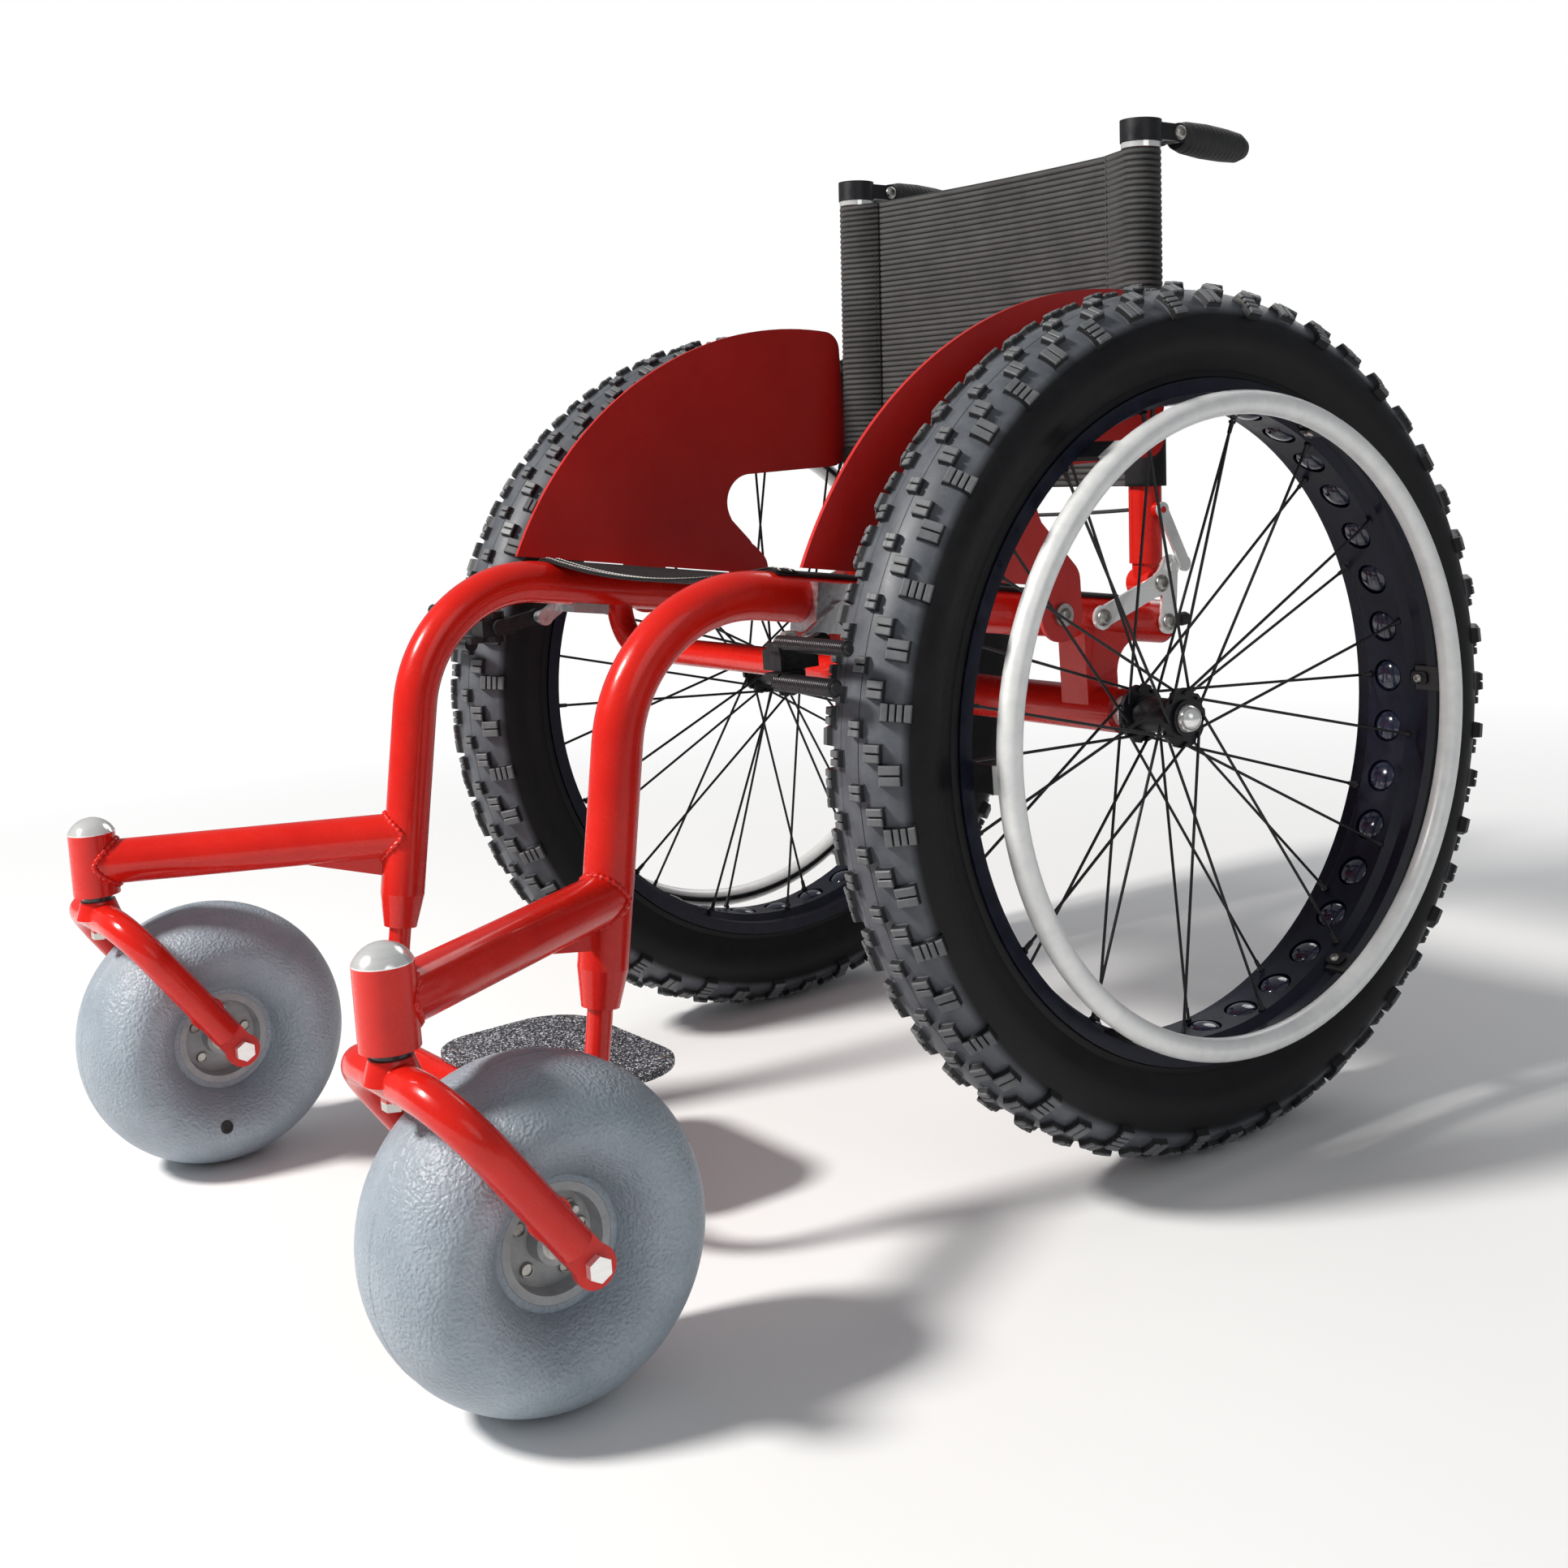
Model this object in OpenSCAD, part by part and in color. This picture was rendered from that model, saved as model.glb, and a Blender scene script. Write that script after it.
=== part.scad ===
// All terrain wheelchair: rigid seat frame, fold-down back, fat knobbly wheels and balloon casters.
// The front faces -Y, the user's left is +X, and the floor is z = 0.

/* [Rear wheels] */
// Outer radius of the tyre over its knobs
tyre_r = 372; // [350:1:390]
// Width of the tyre casing
tyre_w = 94; // [84:1:104]
// Height of the tread knobs
knob_h = 7; // [4:0.5:9]
// Knobs in each of the six rows
knob_count = 48; // [36:1:56]
// Thickness of the tyre wall
tyre_wall = 4; // [3:0.5:6]
// Radius of the seat that carries the tyre beads
bead_r = 281; // [270:1:290]
// Distance of the wheel's middle plane from the chair's middle
wheel_x = 321.5; // [315:0.5:335]
// Width of the rim between its flanges
rim_w = 72; // [64:1:76]
// Diameter of the round cut-outs in the rim
rim_hole_d = 30; // [20:1:36]
// Round cut-outs in the rim
rim_holes = 36; // [28:1:40]
// Spokes in each wheel, four to a group
spoke_count = 32; // [24:4:40]
// Diameter of a spoke
spoke_d = 2.6; // [2:0.1:3.2]
// Radius of the hub flanges
flange_r = 26; // [23:0.5:32]
// Diameter of the wheel axle
axle_d = 12.7; // [10:0.1:15]

/* [Handrims] */
// Centre line radius of the handrim
handrim_r = 267.4; // [262:0.1:272]
// Diameter of the handrim tube
handrim_d = 20; // [16:1:24]
// Distance of the handrim plane outside the wheel's middle plane
handrim_out = 71; // [66:0.5:80]
// Tabs that carry each handrim
handrim_tabs = 6; // [4:1:8]

/* [Seat frame] */
// Diameter of the seat rail, leg, axle and caster arm tubes
frame_d = 40; // [36:1:42]
// Distance of each front leg from the chair's middle
leg_x = 182; // [170:1:190]
// Height of the point where leg and rail lines meet
corner_z = 532; // [520:1:545]
// Distance of that point ahead of the rear axle
corner_reach = 461; // [450:1:475]
// Angle by which the seat falls toward the back
seat_dump = 9.5; // [6:0.5:12]
// Angle by which the rails spread toward the back
rail_toe = 2.7; // [2:0.1:3]
// Centre line radius of the bend between rail and leg
corner_bend = 120; // [100:5:150]
// Length of the rail from the corner
rail_len = 559; // [540:1:570]
// Length of the leg from the corner
leg_len = 323; // [310:1:330]

/* [Casters] */
// Radius of the caster wheel
caster_r = 120; // [110:1:124]
// Width of the caster tyre
caster_w = 132; // [120:1:136]
// Distance of the caster wheels from the chair's middle
caster_x = 316; // [305:1:330]
// Distance of the caster axles ahead of the rear axle at rest
caster_reach = 653.5; // [645:0.5:665]
// Distance of the swivel axis ahead of the caster axle
caster_trail = 90.5; // [80:0.5:98]
// Height of the swivel barrel's lower end
barrel_z = 269; // [265:1:280]
// Length of the swivel barrel
barrel_len = 56; // [50:1:64]
// Diameter of the fork tube
fork_d = 27; // [20:1:30]
// Distance of the fork tube from the caster wheel's middle
fork_half = 82; // [80:1:90]

/* [Back] */
// Diameter of the back posts
post_d = 30; // [26:1:32]
// Distance of the posts from the chair's middle
post_x = 212; // [208:1:214]
// Distance of the fold pivot behind the rear axle
fold_y = 71; // [66:1:76]
// Height of the fold pivot
fold_z = 478; // [477:0.5:484]
// Length of the posts above the pivot
post_len = 412; // [380:1:440]
// Angle by which the posts lean back
back_lean = 3.6; // [1:0.1:5]
// Height of the back fabric
back_h = 305; // [260:1:310]

/* [Footrest] */
// Diameter of the footrest tube
foot_d = 20; // [16:1:22]
// Distance of the footrest bar below the frame corner, along the legs
foot_drop = 433; // [420:1:445]
// Width of the footplate
plate_w = 190; // [160:1:220]
// Depth of the footplate
plate_depth = 130; // [110:1:140]

/* [Hidden] */
$fn = 64;
left = 1;
right = -1;

// Clearances: a running fit, a seat between pieces of one body, and a gap between moving pieces
run_gap = 0.05;
seat_gap = 0.2;
free_gap = 0.5;

// Colours
frame_red = "firebrick";
satin_black = [0.08, 0.08, 0.09];
tyre_black = [0.12, 0.12, 0.13];
alloy = "silver";
balloon_grey = [0.45, 0.47, 0.5];
cloth_black = [0.1, 0.1, 0.11];

// The chair stands with its footprint centred on the origin
caster_front = caster_reach + caster_r;
axle_y = (caster_front - tyre_r) / 2;
axle_z = tyre_r;
frame_r = frame_d / 2;
swivel_y = -(caster_reach + caster_trail);

// Places the children in the frame whose origin lies on the rear axle line, on the floor
module at_axle() translate([0, axle_y, 0]) children();

// Draws the left piece as it is, and the right one as its mirror image
module sided(side) {
    if (side == left) children();
    else mirror([1, 0, 0]) children();
}

// Solid of a round bar along X, Y or Z between two coordinates
module x_bar(x0, x1, r) translate([x0, 0, 0]) rotate([0, 90, 0]) cylinder(h = x1 - x0, r = r);
module y_bar(y0, y1, r) translate([0, y0, 0]) rotate([-90, 0, 0]) cylinder(h = y1 - y0, r = r);
module z_bar(z0, z1, r) translate([0, 0, z0]) cylinder(h = z1 - z0, r = r);

// Round bar between two points
module bar(p, q, r) {
    d = q - p;
    translate(p) rotate([0, acos(d.z / norm(d)), atan2(d.y, d.x)]) cylinder(h = norm(d), r = r);
}

// Flat strap across X through points given as [y, z], with a round eye at each and a waist between them
strap_waist = 0.86;

module x_strap(points, r, x0, x1) translate([x0, 0, 0]) rotate([90, 0, 90]) linear_extrude(x1 - x0) {
    half = strap_waist * r;
    for (p = points)
        translate(p) circle(r);
    for (i = [1:len(points) - 1]) {
        d = points[i] - points[i - 1];
        translate(points[i - 1]) rotate(atan2(d.y, d.x)) translate([0, -half]) square([norm(d), 2 * half]);
    }
}

// Flat link between two points
module x_link(p, q, r, x0, x1) x_strap([p, q], r, x0, x1);

// Tube bent into a U: cross bar along X at the top, legs along -Z
module u_tube(half_w, depth, bend_r, tube_r) {
    for (m = [0, 1])
        mirror([m, 0, 0]) {
            x_bar(0, half_w - bend_r, tube_r);
            translate([half_w - bend_r, 0, -bend_r]) {
                rotate([90, 0, 0]) rotate_extrude(angle = 90) translate([bend_r, 0]) circle(tube_r);
                translate([bend_r, 0, 0]) mirror([0, 0, 1]) cylinder(h = depth - bend_r, r = tube_r);
            }
        }
}

function reverse(list) = [for (i = [len(list) - 1:-1:0]) list[i]];
function flip_x(list) = [for (p = list) [-p.x, p.y]];

// Seat frame: each side is one tube, bent at the front corner into rail and leg

// Local frame of one side: origin at the corner, rail along +Y, leg along -Z
module side_space(side) {
    at_axle() sided(side) translate([leg_x, -corner_reach, corner_z]) rotate([-seat_dump, 0, 0])
        rotate([0, 0, -rail_toe]) children();
}

// Point of the rail's centre line at a distance behind the axle, with the origin on the axle line
function rail_at(y) = let (t = (y + corner_reach) / (cos(seat_dump) * cos(rail_toe)))
    [leg_x + t * sin(rail_toe), y, corner_z - t * cos(rail_toe) * sin(seat_dump)];
// Distance along the rail from the corner to a place behind the axle
function rail_run(y) = (y + corner_reach) / (cos(seat_dump) * cos(rail_toe));
// Point of the leg's centre line at a height
function leg_at(z) = [leg_x, -corner_reach - (corner_z - z) * tan(seat_dump), z];

// Place of the wheel lock's clamp on each rail, a little behind the bend
brake_setback = 56;
brake_clamp_y = corner_bend + brake_setback - corner_reach;

leg_tip_r = 15;
leg_tip_len = 30;
foot_r = foot_d / 2;
foot_bore_len = 190;

module rail_solid() y_bar(corner_bend, rail_len, frame_r);
module leg_solid() {
    z_bar(-leg_len + leg_tip_len, -corner_bend, frame_r);
    translate([0, 0, -leg_len]) cylinder(h = leg_tip_len, r1 = leg_tip_r, r2 = frame_r);
}

module side_frame(side) color(frame_red) side_space(side) difference() {
    union() {
        rail_solid();
        translate([0, corner_bend, -corner_bend]) rotate([90, 0, -90])
            rotate_extrude(angle = 90) translate([corner_bend, 0]) circle(frame_r);
        leg_solid();
    }
    z_bar(-leg_len - 1, -leg_len + foot_bore_len, foot_r + run_gap);
}

// Caster arm: a tube from the leg to the swivel barrel, with a flat gusset under its root
barrel_r = 20.5;
bearing_or = 17;
stem_r = 10;
bearing_h = 11;
cap_flange_h = 3;
arm_z = barrel_z + barrel_len / 2;
gusset_t = 6;
gusset_len = 90;
gusset_drop = 42;

module caster_arm(side) color(frame_red) {
    root = leg_at(arm_z);
    arm = [caster_x, swivel_y, arm_z] - root;
    difference() {
        at_axle() sided(side) difference() {
            union() {
                bar(root, root + arm, frame_r);
                translate([caster_x, swivel_y, 0]) z_bar(barrel_z, barrel_z + barrel_len, barrel_r);
                translate(root) rotate([0, 0, atan2(arm.y, arm.x)]) rotate([90, 0, 0])
                    translate([0, 0, -gusset_t / 2]) linear_extrude(gusset_t)
                        polygon([[0, 0], [gusset_len, 0], [gusset_len, -frame_r], [0, -gusset_drop]]);
            }
            translate([caster_x, swivel_y, 0])
                z_bar(barrel_z - 1, barrel_z + barrel_len + 1, bearing_or + run_gap);
        }
        side_space(side) z_bar(-leg_len, -corner_bend, frame_r);
    }
}

// Bearings at both ends of each barrel, and the domed cap on top
module swivel_bearings() color(alloy) at_axle()
    for (side = [left, right])
        sided(side) translate([caster_x, swivel_y, barrel_z])
            for (z = [0, barrel_len - bearing_h])
                difference() {
                    z_bar(z, z + bearing_h, bearing_or);
                    z_bar(z - 1, z + bearing_h + 1, stem_r + run_gap);
                }

cap_dome_r = 22.5;
cap_dome_h = 14;

module barrel_caps() color(alloy) at_axle()
    for (side = [left, right])
        sided(side) translate([caster_x, swivel_y, barrel_z + barrel_len])
            difference() {
                intersection() {
                    translate([0, 0, cap_dome_h - cap_dome_r]) sphere(cap_dome_r);
                    z_bar(0, cap_dome_h, barrel_r);
                }
                z_bar(-1, cap_flange_h + 2, stem_r + 2);
            }

// Axle tube between the rear wheels, hung from the rails by two brackets
axle_r = axle_d / 2;
axle_tube_half = 245;
axle_bore_len = 70;

module axle_tube() color(frame_red) at_axle() translate([0, 0, axle_z]) difference() {
    x_bar(-axle_tube_half, axle_tube_half, frame_r);
    for (m = [0, 1])
        mirror([m, 0, 0]) x_bar(axle_tube_half - axle_bore_len, axle_tube_half + 1, axle_r + run_gap);
}

bracket_w = 38;
bracket_t = 34;
bracket_fillet = 30;
bracket_web_low = 4;

// Upright of the bracket with a round web toward the rail's rear end
module bracket_outline() {
    rail_low = rail_at(0).z - frame_r;
    translate([-bracket_w / 2, axle_z]) square([bracket_w, rail_low + frame_r * 0.75 - axle_z]);
    difference() {
        translate([bracket_w / 2 - 1, rail_low - bracket_fillet])
            square([bracket_fillet, bracket_fillet + frame_r / 2]);
        translate([bracket_w / 2 + bracket_fillet, rail_low - bracket_fillet - bracket_web_low])
            circle(bracket_fillet);
    }
}

module axle_bracket(side) color(frame_red) difference() {
    at_axle() sided(side) difference() {
        translate([rail_at(0).x - bracket_t / 2, 0, 0]) rotate([90, 0, 90]) linear_extrude(bracket_t)
            bracket_outline();
        translate([0, 0, axle_z]) x_bar(0, axle_tube_half + 1, frame_r);
        hinge_bolts(hinge_bolt_r + free_gap);
    }
    side_space(side) rail_solid();
}

// Drop tube that ties the rails together under the seat
cross_y = -250;
cross_drop = 58;
cross_bend = 40;
cross_r = 12.5;

module seat_cross_tube() color(frame_red) {
    top = rail_at(cross_y);
    difference() {
        at_axle() translate([0, cross_y, top.z - cross_drop]) rotate([180, 0, 0])
            u_tube(top.x, cross_drop, cross_bend, cross_r);
        side_space(left) rail_solid();
        side_space(right) rail_solid();
    }
}

// Rear wheels: the local frame has its origin at the wheel's middle, with the axis along X
module wheel_space(side) at_axle() sided(side) translate([wheel_x, 0, axle_z]) children();

// Casing section as [x, radius] at an angle from the crown; inset moves it inward
casing_r = tyre_r - knob_h;
casing_mid_r = bead_r + 45;
function casing_point(a, inset) =
    [(tyre_w / 2 - inset) * sin(a), casing_mid_r + (casing_r - casing_mid_r - inset) * cos(a)];

// The casing is straight between these angles, so each band carries one row of knobs
bead_x = rim_w / 2;
bead_angle = 180 - asin(bead_x / (tyre_w / 2));
casing_angles = [4, 23, 42, 62, 84, 106, bead_angle];
casing_out = [for (a = casing_angles) casing_point(a, 0)];
casing_in = [for (a = casing_angles) casing_point(a, tyre_wall)];
bead_out = [bead_x, bead_r + seat_gap];
bead_in = [bead_x - tyre_wall, bead_r + seat_gap];

// A closed section of [x, radius] points, turned about the X axis
module turned(points) rotate([0, 90, 0]) rotate_extrude() polygon([for (p = points) [p.y, p.x]]);

module tyre_casing() {
    outer = concat(casing_out, [bead_out]);
    inner = concat(casing_in, [bead_in]);
    turned(concat(reverse(flip_x(outer)), outer, reverse(inner), flip_x(inner)));
}

knob_fill = 0.72;
knob_root = 2;

// One row of knobs on the band between two casing angles
module knob_row(band, knob_len, phase) {
    p = casing_out[band];
    q = casing_out[band + 1];
    band_w = norm(q - p);
    knob_w = band_w * knob_fill;
    for (i = [0:knob_count - 1])
        rotate([360 * (i + phase) / knob_count, 0, 0]) translate([p.x, 0, p.y])
            rotate([0, atan2(p.y - q.y, q.x - p.x), 0])
                translate([(band_w - knob_w) / 2, -knob_len / 2, -knob_root])
                    cube([knob_w, knob_len, knob_h + knob_root]);
}

knob_lens = [13, 18, 20];

module tyre(side) color(tyre_black) wheel_space(side) {
    tyre_casing();
    for (m = [0, 1])
        mirror([m, 0, 0])
            for (row = [0:2])
                knob_row(row, knob_lens[row], row / 3 + m / 2);
}

// Rim: a thin wall with a dropped middle, hooked flanges and a row of round cut-outs
rim_t = 4;
rim_well = 7;
rim_flange_h = 8;
rim_flange_t = 3;
rim_shelf = 8;
rim_half = rim_w / 2 + seat_gap;
rim_edge_r = bead_r - rim_t;
rim_floor_r = bead_r - rim_well;

module rim(side) color(satin_black) wheel_space(side) difference() {
    well_x = rim_half - rim_shelf - rim_well;
    half = [
        [well_x, rim_floor_r], [rim_half - rim_shelf, bead_r], [rim_half, bead_r],
        [rim_half, bead_r + rim_flange_h], [rim_half + rim_flange_t, bead_r + rim_flange_h],
        [rim_half + rim_flange_t, rim_edge_r], [rim_half - rim_shelf, rim_edge_r], [well_x, rim_floor_r - rim_t]
    ];
    turned(concat(half, reverse(flip_x(half))));
    for (i = [0:rim_holes - 1])
        rotate([360 * i / rim_holes, 0, 0]) z_bar(rim_floor_r - 2 * rim_t, bead_r, rim_hole_d / 2);
}

// Hub: a narrow barrel with two toothed flanges, the outer one just inside the wheel's middle
hub_shell_r = 15.5;
hub_in_x = -59.5;
hub_out_x = -0.5;
flange_t = 4;
flange_inset = 3;
flange_teeth = spoke_count / 4 + 2;
flange_xs = [hub_in_x + flange_inset, hub_out_x - flange_inset - flange_t];
tooth_r = 4;
hub_bearing_r = 12;
hub_bearing_w = 9;

module hub(side) color(satin_black) wheel_space(side) difference() {
    union() {
        x_bar(hub_in_x, hub_out_x, hub_shell_r);
        for (x = flange_xs)
            difference() {
                x_bar(x, x + flange_t, flange_r);
                for (i = [0:flange_teeth - 1])
                    rotate([360 * i / flange_teeth, 0, 0]) translate([0, 0, flange_r + tooth_r / 2])
                        x_bar(x - 1, x + flange_t + 1, tooth_r);
            }
    }
    x_bar(hub_in_x - 1, hub_out_x + 1, axle_r + 2);
    x_bar(hub_in_x - 1, hub_in_x + hub_bearing_w, hub_bearing_r + run_gap);
    x_bar(hub_out_x - hub_bearing_w, hub_out_x + 1, hub_bearing_r + run_gap);
}

module hub_bearings(side) color(alloy) wheel_space(side)
    for (x = [hub_in_x, hub_out_x - hub_bearing_w])
        difference() {
            x_bar(x, x + hub_bearing_w, hub_bearing_r);
            x_bar(x - 1, x + hub_bearing_w + 1, axle_r + run_gap);
        }

// Spokes: from each flange half lead and half trail, and they cross on the way to the rim
spoke_lead = 58;
spoke_splay = 1.1;
spoke_rim_x = 22;
spoke_hub_r = flange_r - 5;
spoke_rim_r = rim_floor_r - rim_t - seat_gap;

module spokes(side) color(satin_black) wheel_space(side) {
    per_flange = spoke_count / 2;
    for (f = [0, 1])
        for (i = [0:per_flange - 1]) {
            lead = i % 2 == 0 ? 1 : -1;
            rim_angle = 360 * (i + f / 2) / per_flange;
            hub_angle = rim_angle - lead * spoke_lead;
            // Leading and trailing spokes leave opposite faces of the flange; the trailing ones clear its edge
            stand_off = flange_t / 2 + spoke_d / 2 + seat_gap + (lead < 0 ? spoke_splay : 0);
            x = flange_xs[f] + flange_t / 2 + lead * stand_off;
            rim_x = (f == 0 ? -1 : 1) * spoke_rim_x + lead * spoke_d;
            bar([x, spoke_hub_r * sin(hub_angle), spoke_hub_r * cos(hub_angle)],
                [rim_x, spoke_rim_r * sin(rim_angle), spoke_rim_r * cos(rim_angle)], spoke_d / 2);
        }
}

// Handrim: a round tube carried by flat tabs that screw to the underside of the rim's edge
tab_w = 22;
tab_t = 4;
tab_lap = 10;
tab_r = sqrt(pow(rim_edge_r - seat_gap, 2) - pow(tab_w / 2, 2));

module handrim(side) color(alloy) wheel_space(side) {
    rotate([0, 90, 0]) translate([0, 0, handrim_out])
        rotate_extrude() translate([handrim_r, 0]) circle(handrim_d / 2);
    for (i = [0:handrim_tabs - 1])
        rotate([360 * (i + 0.5) / handrim_tabs, 0, 0])
            translate([rim_half + rim_flange_t - tab_lap, -tab_w / 2, tab_r - tab_t])
                cube([handrim_out - rim_half - rim_flange_t + tab_lap, tab_w, tab_t]);
}

// Axle pins run from the axle tube through the hubs and end in a polished dome
dome_r = 12;
spacer_r = 14;

module wheel_axles() color(alloy) at_axle()
    for (side = [left, right])
        sided(side) translate([0, 0, axle_z]) {
            hub_face = wheel_x + hub_out_x;
            x_bar(axle_tube_half - axle_bore_len, hub_face + free_gap, axle_r);
            x_bar(axle_tube_half + seat_gap, wheel_x + hub_in_x - free_gap, spacer_r);
            intersection() {
                translate([hub_face + free_gap, 0, 0]) sphere(dome_r);
                x_bar(hub_face + free_gap, hub_face + free_gap + dome_r, dome_r + 1);
            }
        }

// Casters: a bent tube fork that trails behind its stem, and a balloon wheel
module caster_space(side) at_axle() sided(side) translate([caster_x, -caster_reach, caster_r]) children();

fork_r = fork_d / 2;
fork_bend = 45;
crown_drop = 21;
crown_z = barrel_z - crown_drop;
fork_rake = atan2(caster_trail, crown_z - caster_r);
fork_len = norm([caster_trail, crown_z - caster_r]);
fork_tab_t = 6;
fork_tab_r = 15;
fork_tab_len = 50;
fork_tube_stop = 22;
collar_r = 20;
collar_top_r = 15;
neck_h = 5;
caster_axle_r = 5;
hex_r = 9;
hex_h = 6;

module fork(side) color(frame_red) at_axle() sided(side) translate([caster_x, swivel_y, 0]) {
    neck_z = barrel_z - free_gap - neck_h;
    stem_top = barrel_z + barrel_len + cap_flange_h;
    z_bar(crown_z, stem_top, stem_r);
    z_bar(neck_z, neck_z + neck_h, stem_r + 3);
    translate([0, 0, crown_z]) cylinder(h = neck_z - crown_z, r1 = collar_r, r2 = collar_top_r);
    translate([0, 0, crown_z - fork_r - hex_h]) cylinder(h = hex_h + fork_r, r = hex_r, $fn = 6);
    translate([0, 0, crown_z]) rotate([fork_rake, 0, 0]) {
        u_tube(fork_half, fork_len - fork_tube_stop, fork_bend, fork_r);
        for (m = [0, 1])
            mirror([m, 0, 0]) difference() {
                x_link([0, -fork_len], [0, fork_tab_len - fork_len], fork_tab_r,
                    fork_half - fork_tab_t / 2, fork_half + fork_tab_t / 2);
                translate([0, 0, -fork_len]) x_bar(0, fork_half + fork_d, caster_axle_r + run_gap);
            }
    }
}

caster_hub_r = 41;
caster_hub_half = 33;
caster_bearing_r = 11;
caster_bearing_w = 9;
caster_spacer_r = 8;

module caster_axle(side) color(alloy) caster_space(side) {
    tab_in = fork_half - fork_tab_t / 2 - seat_gap;
    tab_out = fork_half + fork_tab_t / 2 + seat_gap;
    x_bar(-tab_out, tab_out, caster_axle_r);
    for (m = [0, 1])
        mirror([m, 0, 0]) {
            x_bar(caster_hub_half + free_gap, tab_in, caster_spacer_r);
            translate([tab_out, 0, 0]) rotate([0, 90, 0]) cylinder(h = hex_h, r = hex_r, $fn = 6);
        }
}

// Balloon section: near round, with a narrow flat tread and a foot that seats on the hub
balloon_flat = 6;
balloon_foot = 180 - asin(caster_hub_half / (caster_w / 2));
balloon_steps = 9;
balloon_mid = (caster_r + caster_hub_r) / 2;
function balloon_point(a) = [caster_w / 2 * sin(a),
    balloon_mid + (caster_r - balloon_mid) * cos(a) / cos(balloon_flat)];

module caster_tyre(side) color(balloon_grey) caster_space(side) {
    step = (balloon_foot - balloon_flat) / balloon_steps;
    arc = [for (i = [0:balloon_steps]) balloon_point(balloon_flat + step * i)];
    half = concat(arc, [[caster_hub_half, caster_hub_r + seat_gap]]);
    turned(concat(reverse(flip_x(half)), half));
}

caster_web_half = 20;
caster_rim_t = 6;
caster_boss_r = 15;

// Hub with a recessed face on both sides, a thin rim and a boss for the bearings
module caster_hub(side) color(alloy) caster_space(side) {
    rim_in = caster_hub_r - caster_rim_t;
    seat_x = caster_hub_half - caster_bearing_w;
    half = [
        [caster_hub_half, caster_hub_r], [caster_hub_half, rim_in], [caster_web_half, rim_in - 2],
        [caster_web_half, caster_boss_r + 1], [caster_hub_half, caster_boss_r],
        [caster_hub_half, caster_bearing_r + run_gap], [seat_x, caster_bearing_r + run_gap],
        [seat_x, caster_axle_r + 2]
    ];
    turned(concat(half, reverse(flip_x(half))));
}

module caster_bearings(side) color(alloy) caster_space(side)
    for (x = [-caster_hub_half, caster_hub_half - caster_bearing_w])
        difference() {
            x_bar(x, x + caster_bearing_w, caster_bearing_r);
            x_bar(x - 1, x + caster_bearing_w + 1, caster_axle_r + run_gap);
        }

// Seat sling: cloth stretched over the rails, with a slight hollow between them
module seat_space() at_axle() translate([0, -corner_reach, corner_z]) rotate([-seat_dump, 0, 0]) children();

sling_t = 3;
sling_sag = 14;
sling_front = 8;
sling_rear_y = 30;
sling_steps = 12;
sling_half = leg_x + frame_r - 2;

module seat_sling() color(cloth_black) difference() {
    start = corner_bend + sling_front;
    run = rail_run(sling_rear_y) - start;
    top = [for (i = [-sling_steps:sling_steps]) let (u = i / sling_steps)
        [u * sling_half, frame_r + seat_gap + sling_t - sling_sag * (1 - u * u)]];
    seat_space() translate([0, start + run, 0]) rotate([90, 0, 0]) linear_extrude(run)
        polygon(concat(top, reverse([for (p = top) p - [0, sling_t]])));
    for (side = [left, right])
        side_space(side) y_bar(corner_bend, rail_len, frame_r + seat_gap);
}

// Side guards: flat plates whose upper edge follows the tyre, hooked out at the rear for the fold pivot
guard_x = 236;
guard_t = 4;
guard_r = tyre_r + 1;
guard_rear = 77;
guard_lift = 4;
guard_corner_r = 20;
guard_lobe_r = 24;
guard_brake_room = 95;
guard_bolt_ys = [-62, brake_clamp_y + guard_brake_room];
guard_bolt_r = 5;
hook_r = 30;
hook = [-54, 564];

function rail_top(y) = rail_at(y).z + frame_r / cos(seat_dump) + guard_lift;

// Foot of the hook: where its slant meets the side of the rear bolt's lobe
hook_foot = [guard_bolt_ys[0] + guard_lobe_r, rail_top(guard_bolt_ys[0]) + guard_lobe_r / 2];
// Angle on the hook's round end at which the slant leaves it
hook_turn = atan2(hook_foot.y - hook.y, hook_foot.x - hook.x) - acos(hook_r / norm(hook_foot - hook));

// Plate above the rail, less the hook: a round end, a level upper edge and a slant down to the rear lobe
module guard_plate() difference() {
    hook_low = rail_top(guard_rear) - guard_lobe_r;
    intersection() {
        translate([0, axle_z]) circle(guard_r, $fn = 180);
        polygon([[-guard_r, rail_top(-guard_r)], [guard_rear, rail_top(guard_rear)],
            [guard_rear, axle_z + guard_r], [-guard_r, axle_z + guard_r]]);
    }
    translate(hook) circle(hook_r);
    polygon([hook + hook_r * [cos(hook_turn), sin(hook_turn)], hook_foot, [hook_foot.x, hook_low],
        [guard_rear + 1, hook_low], [guard_rear + 1, hook.y + hook_r], [hook.x, hook.y + hook_r]]);
}

// Round lobe that hangs from the plate at a bolt
module guard_lobe(y) {
    low = rail_at(y).z;
    translate([y, low]) circle(guard_lobe_r);
    translate([y - guard_lobe_r, low]) square([2 * guard_lobe_r, rail_top(y) - low + guard_lobe_r / 2]);
}

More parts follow.
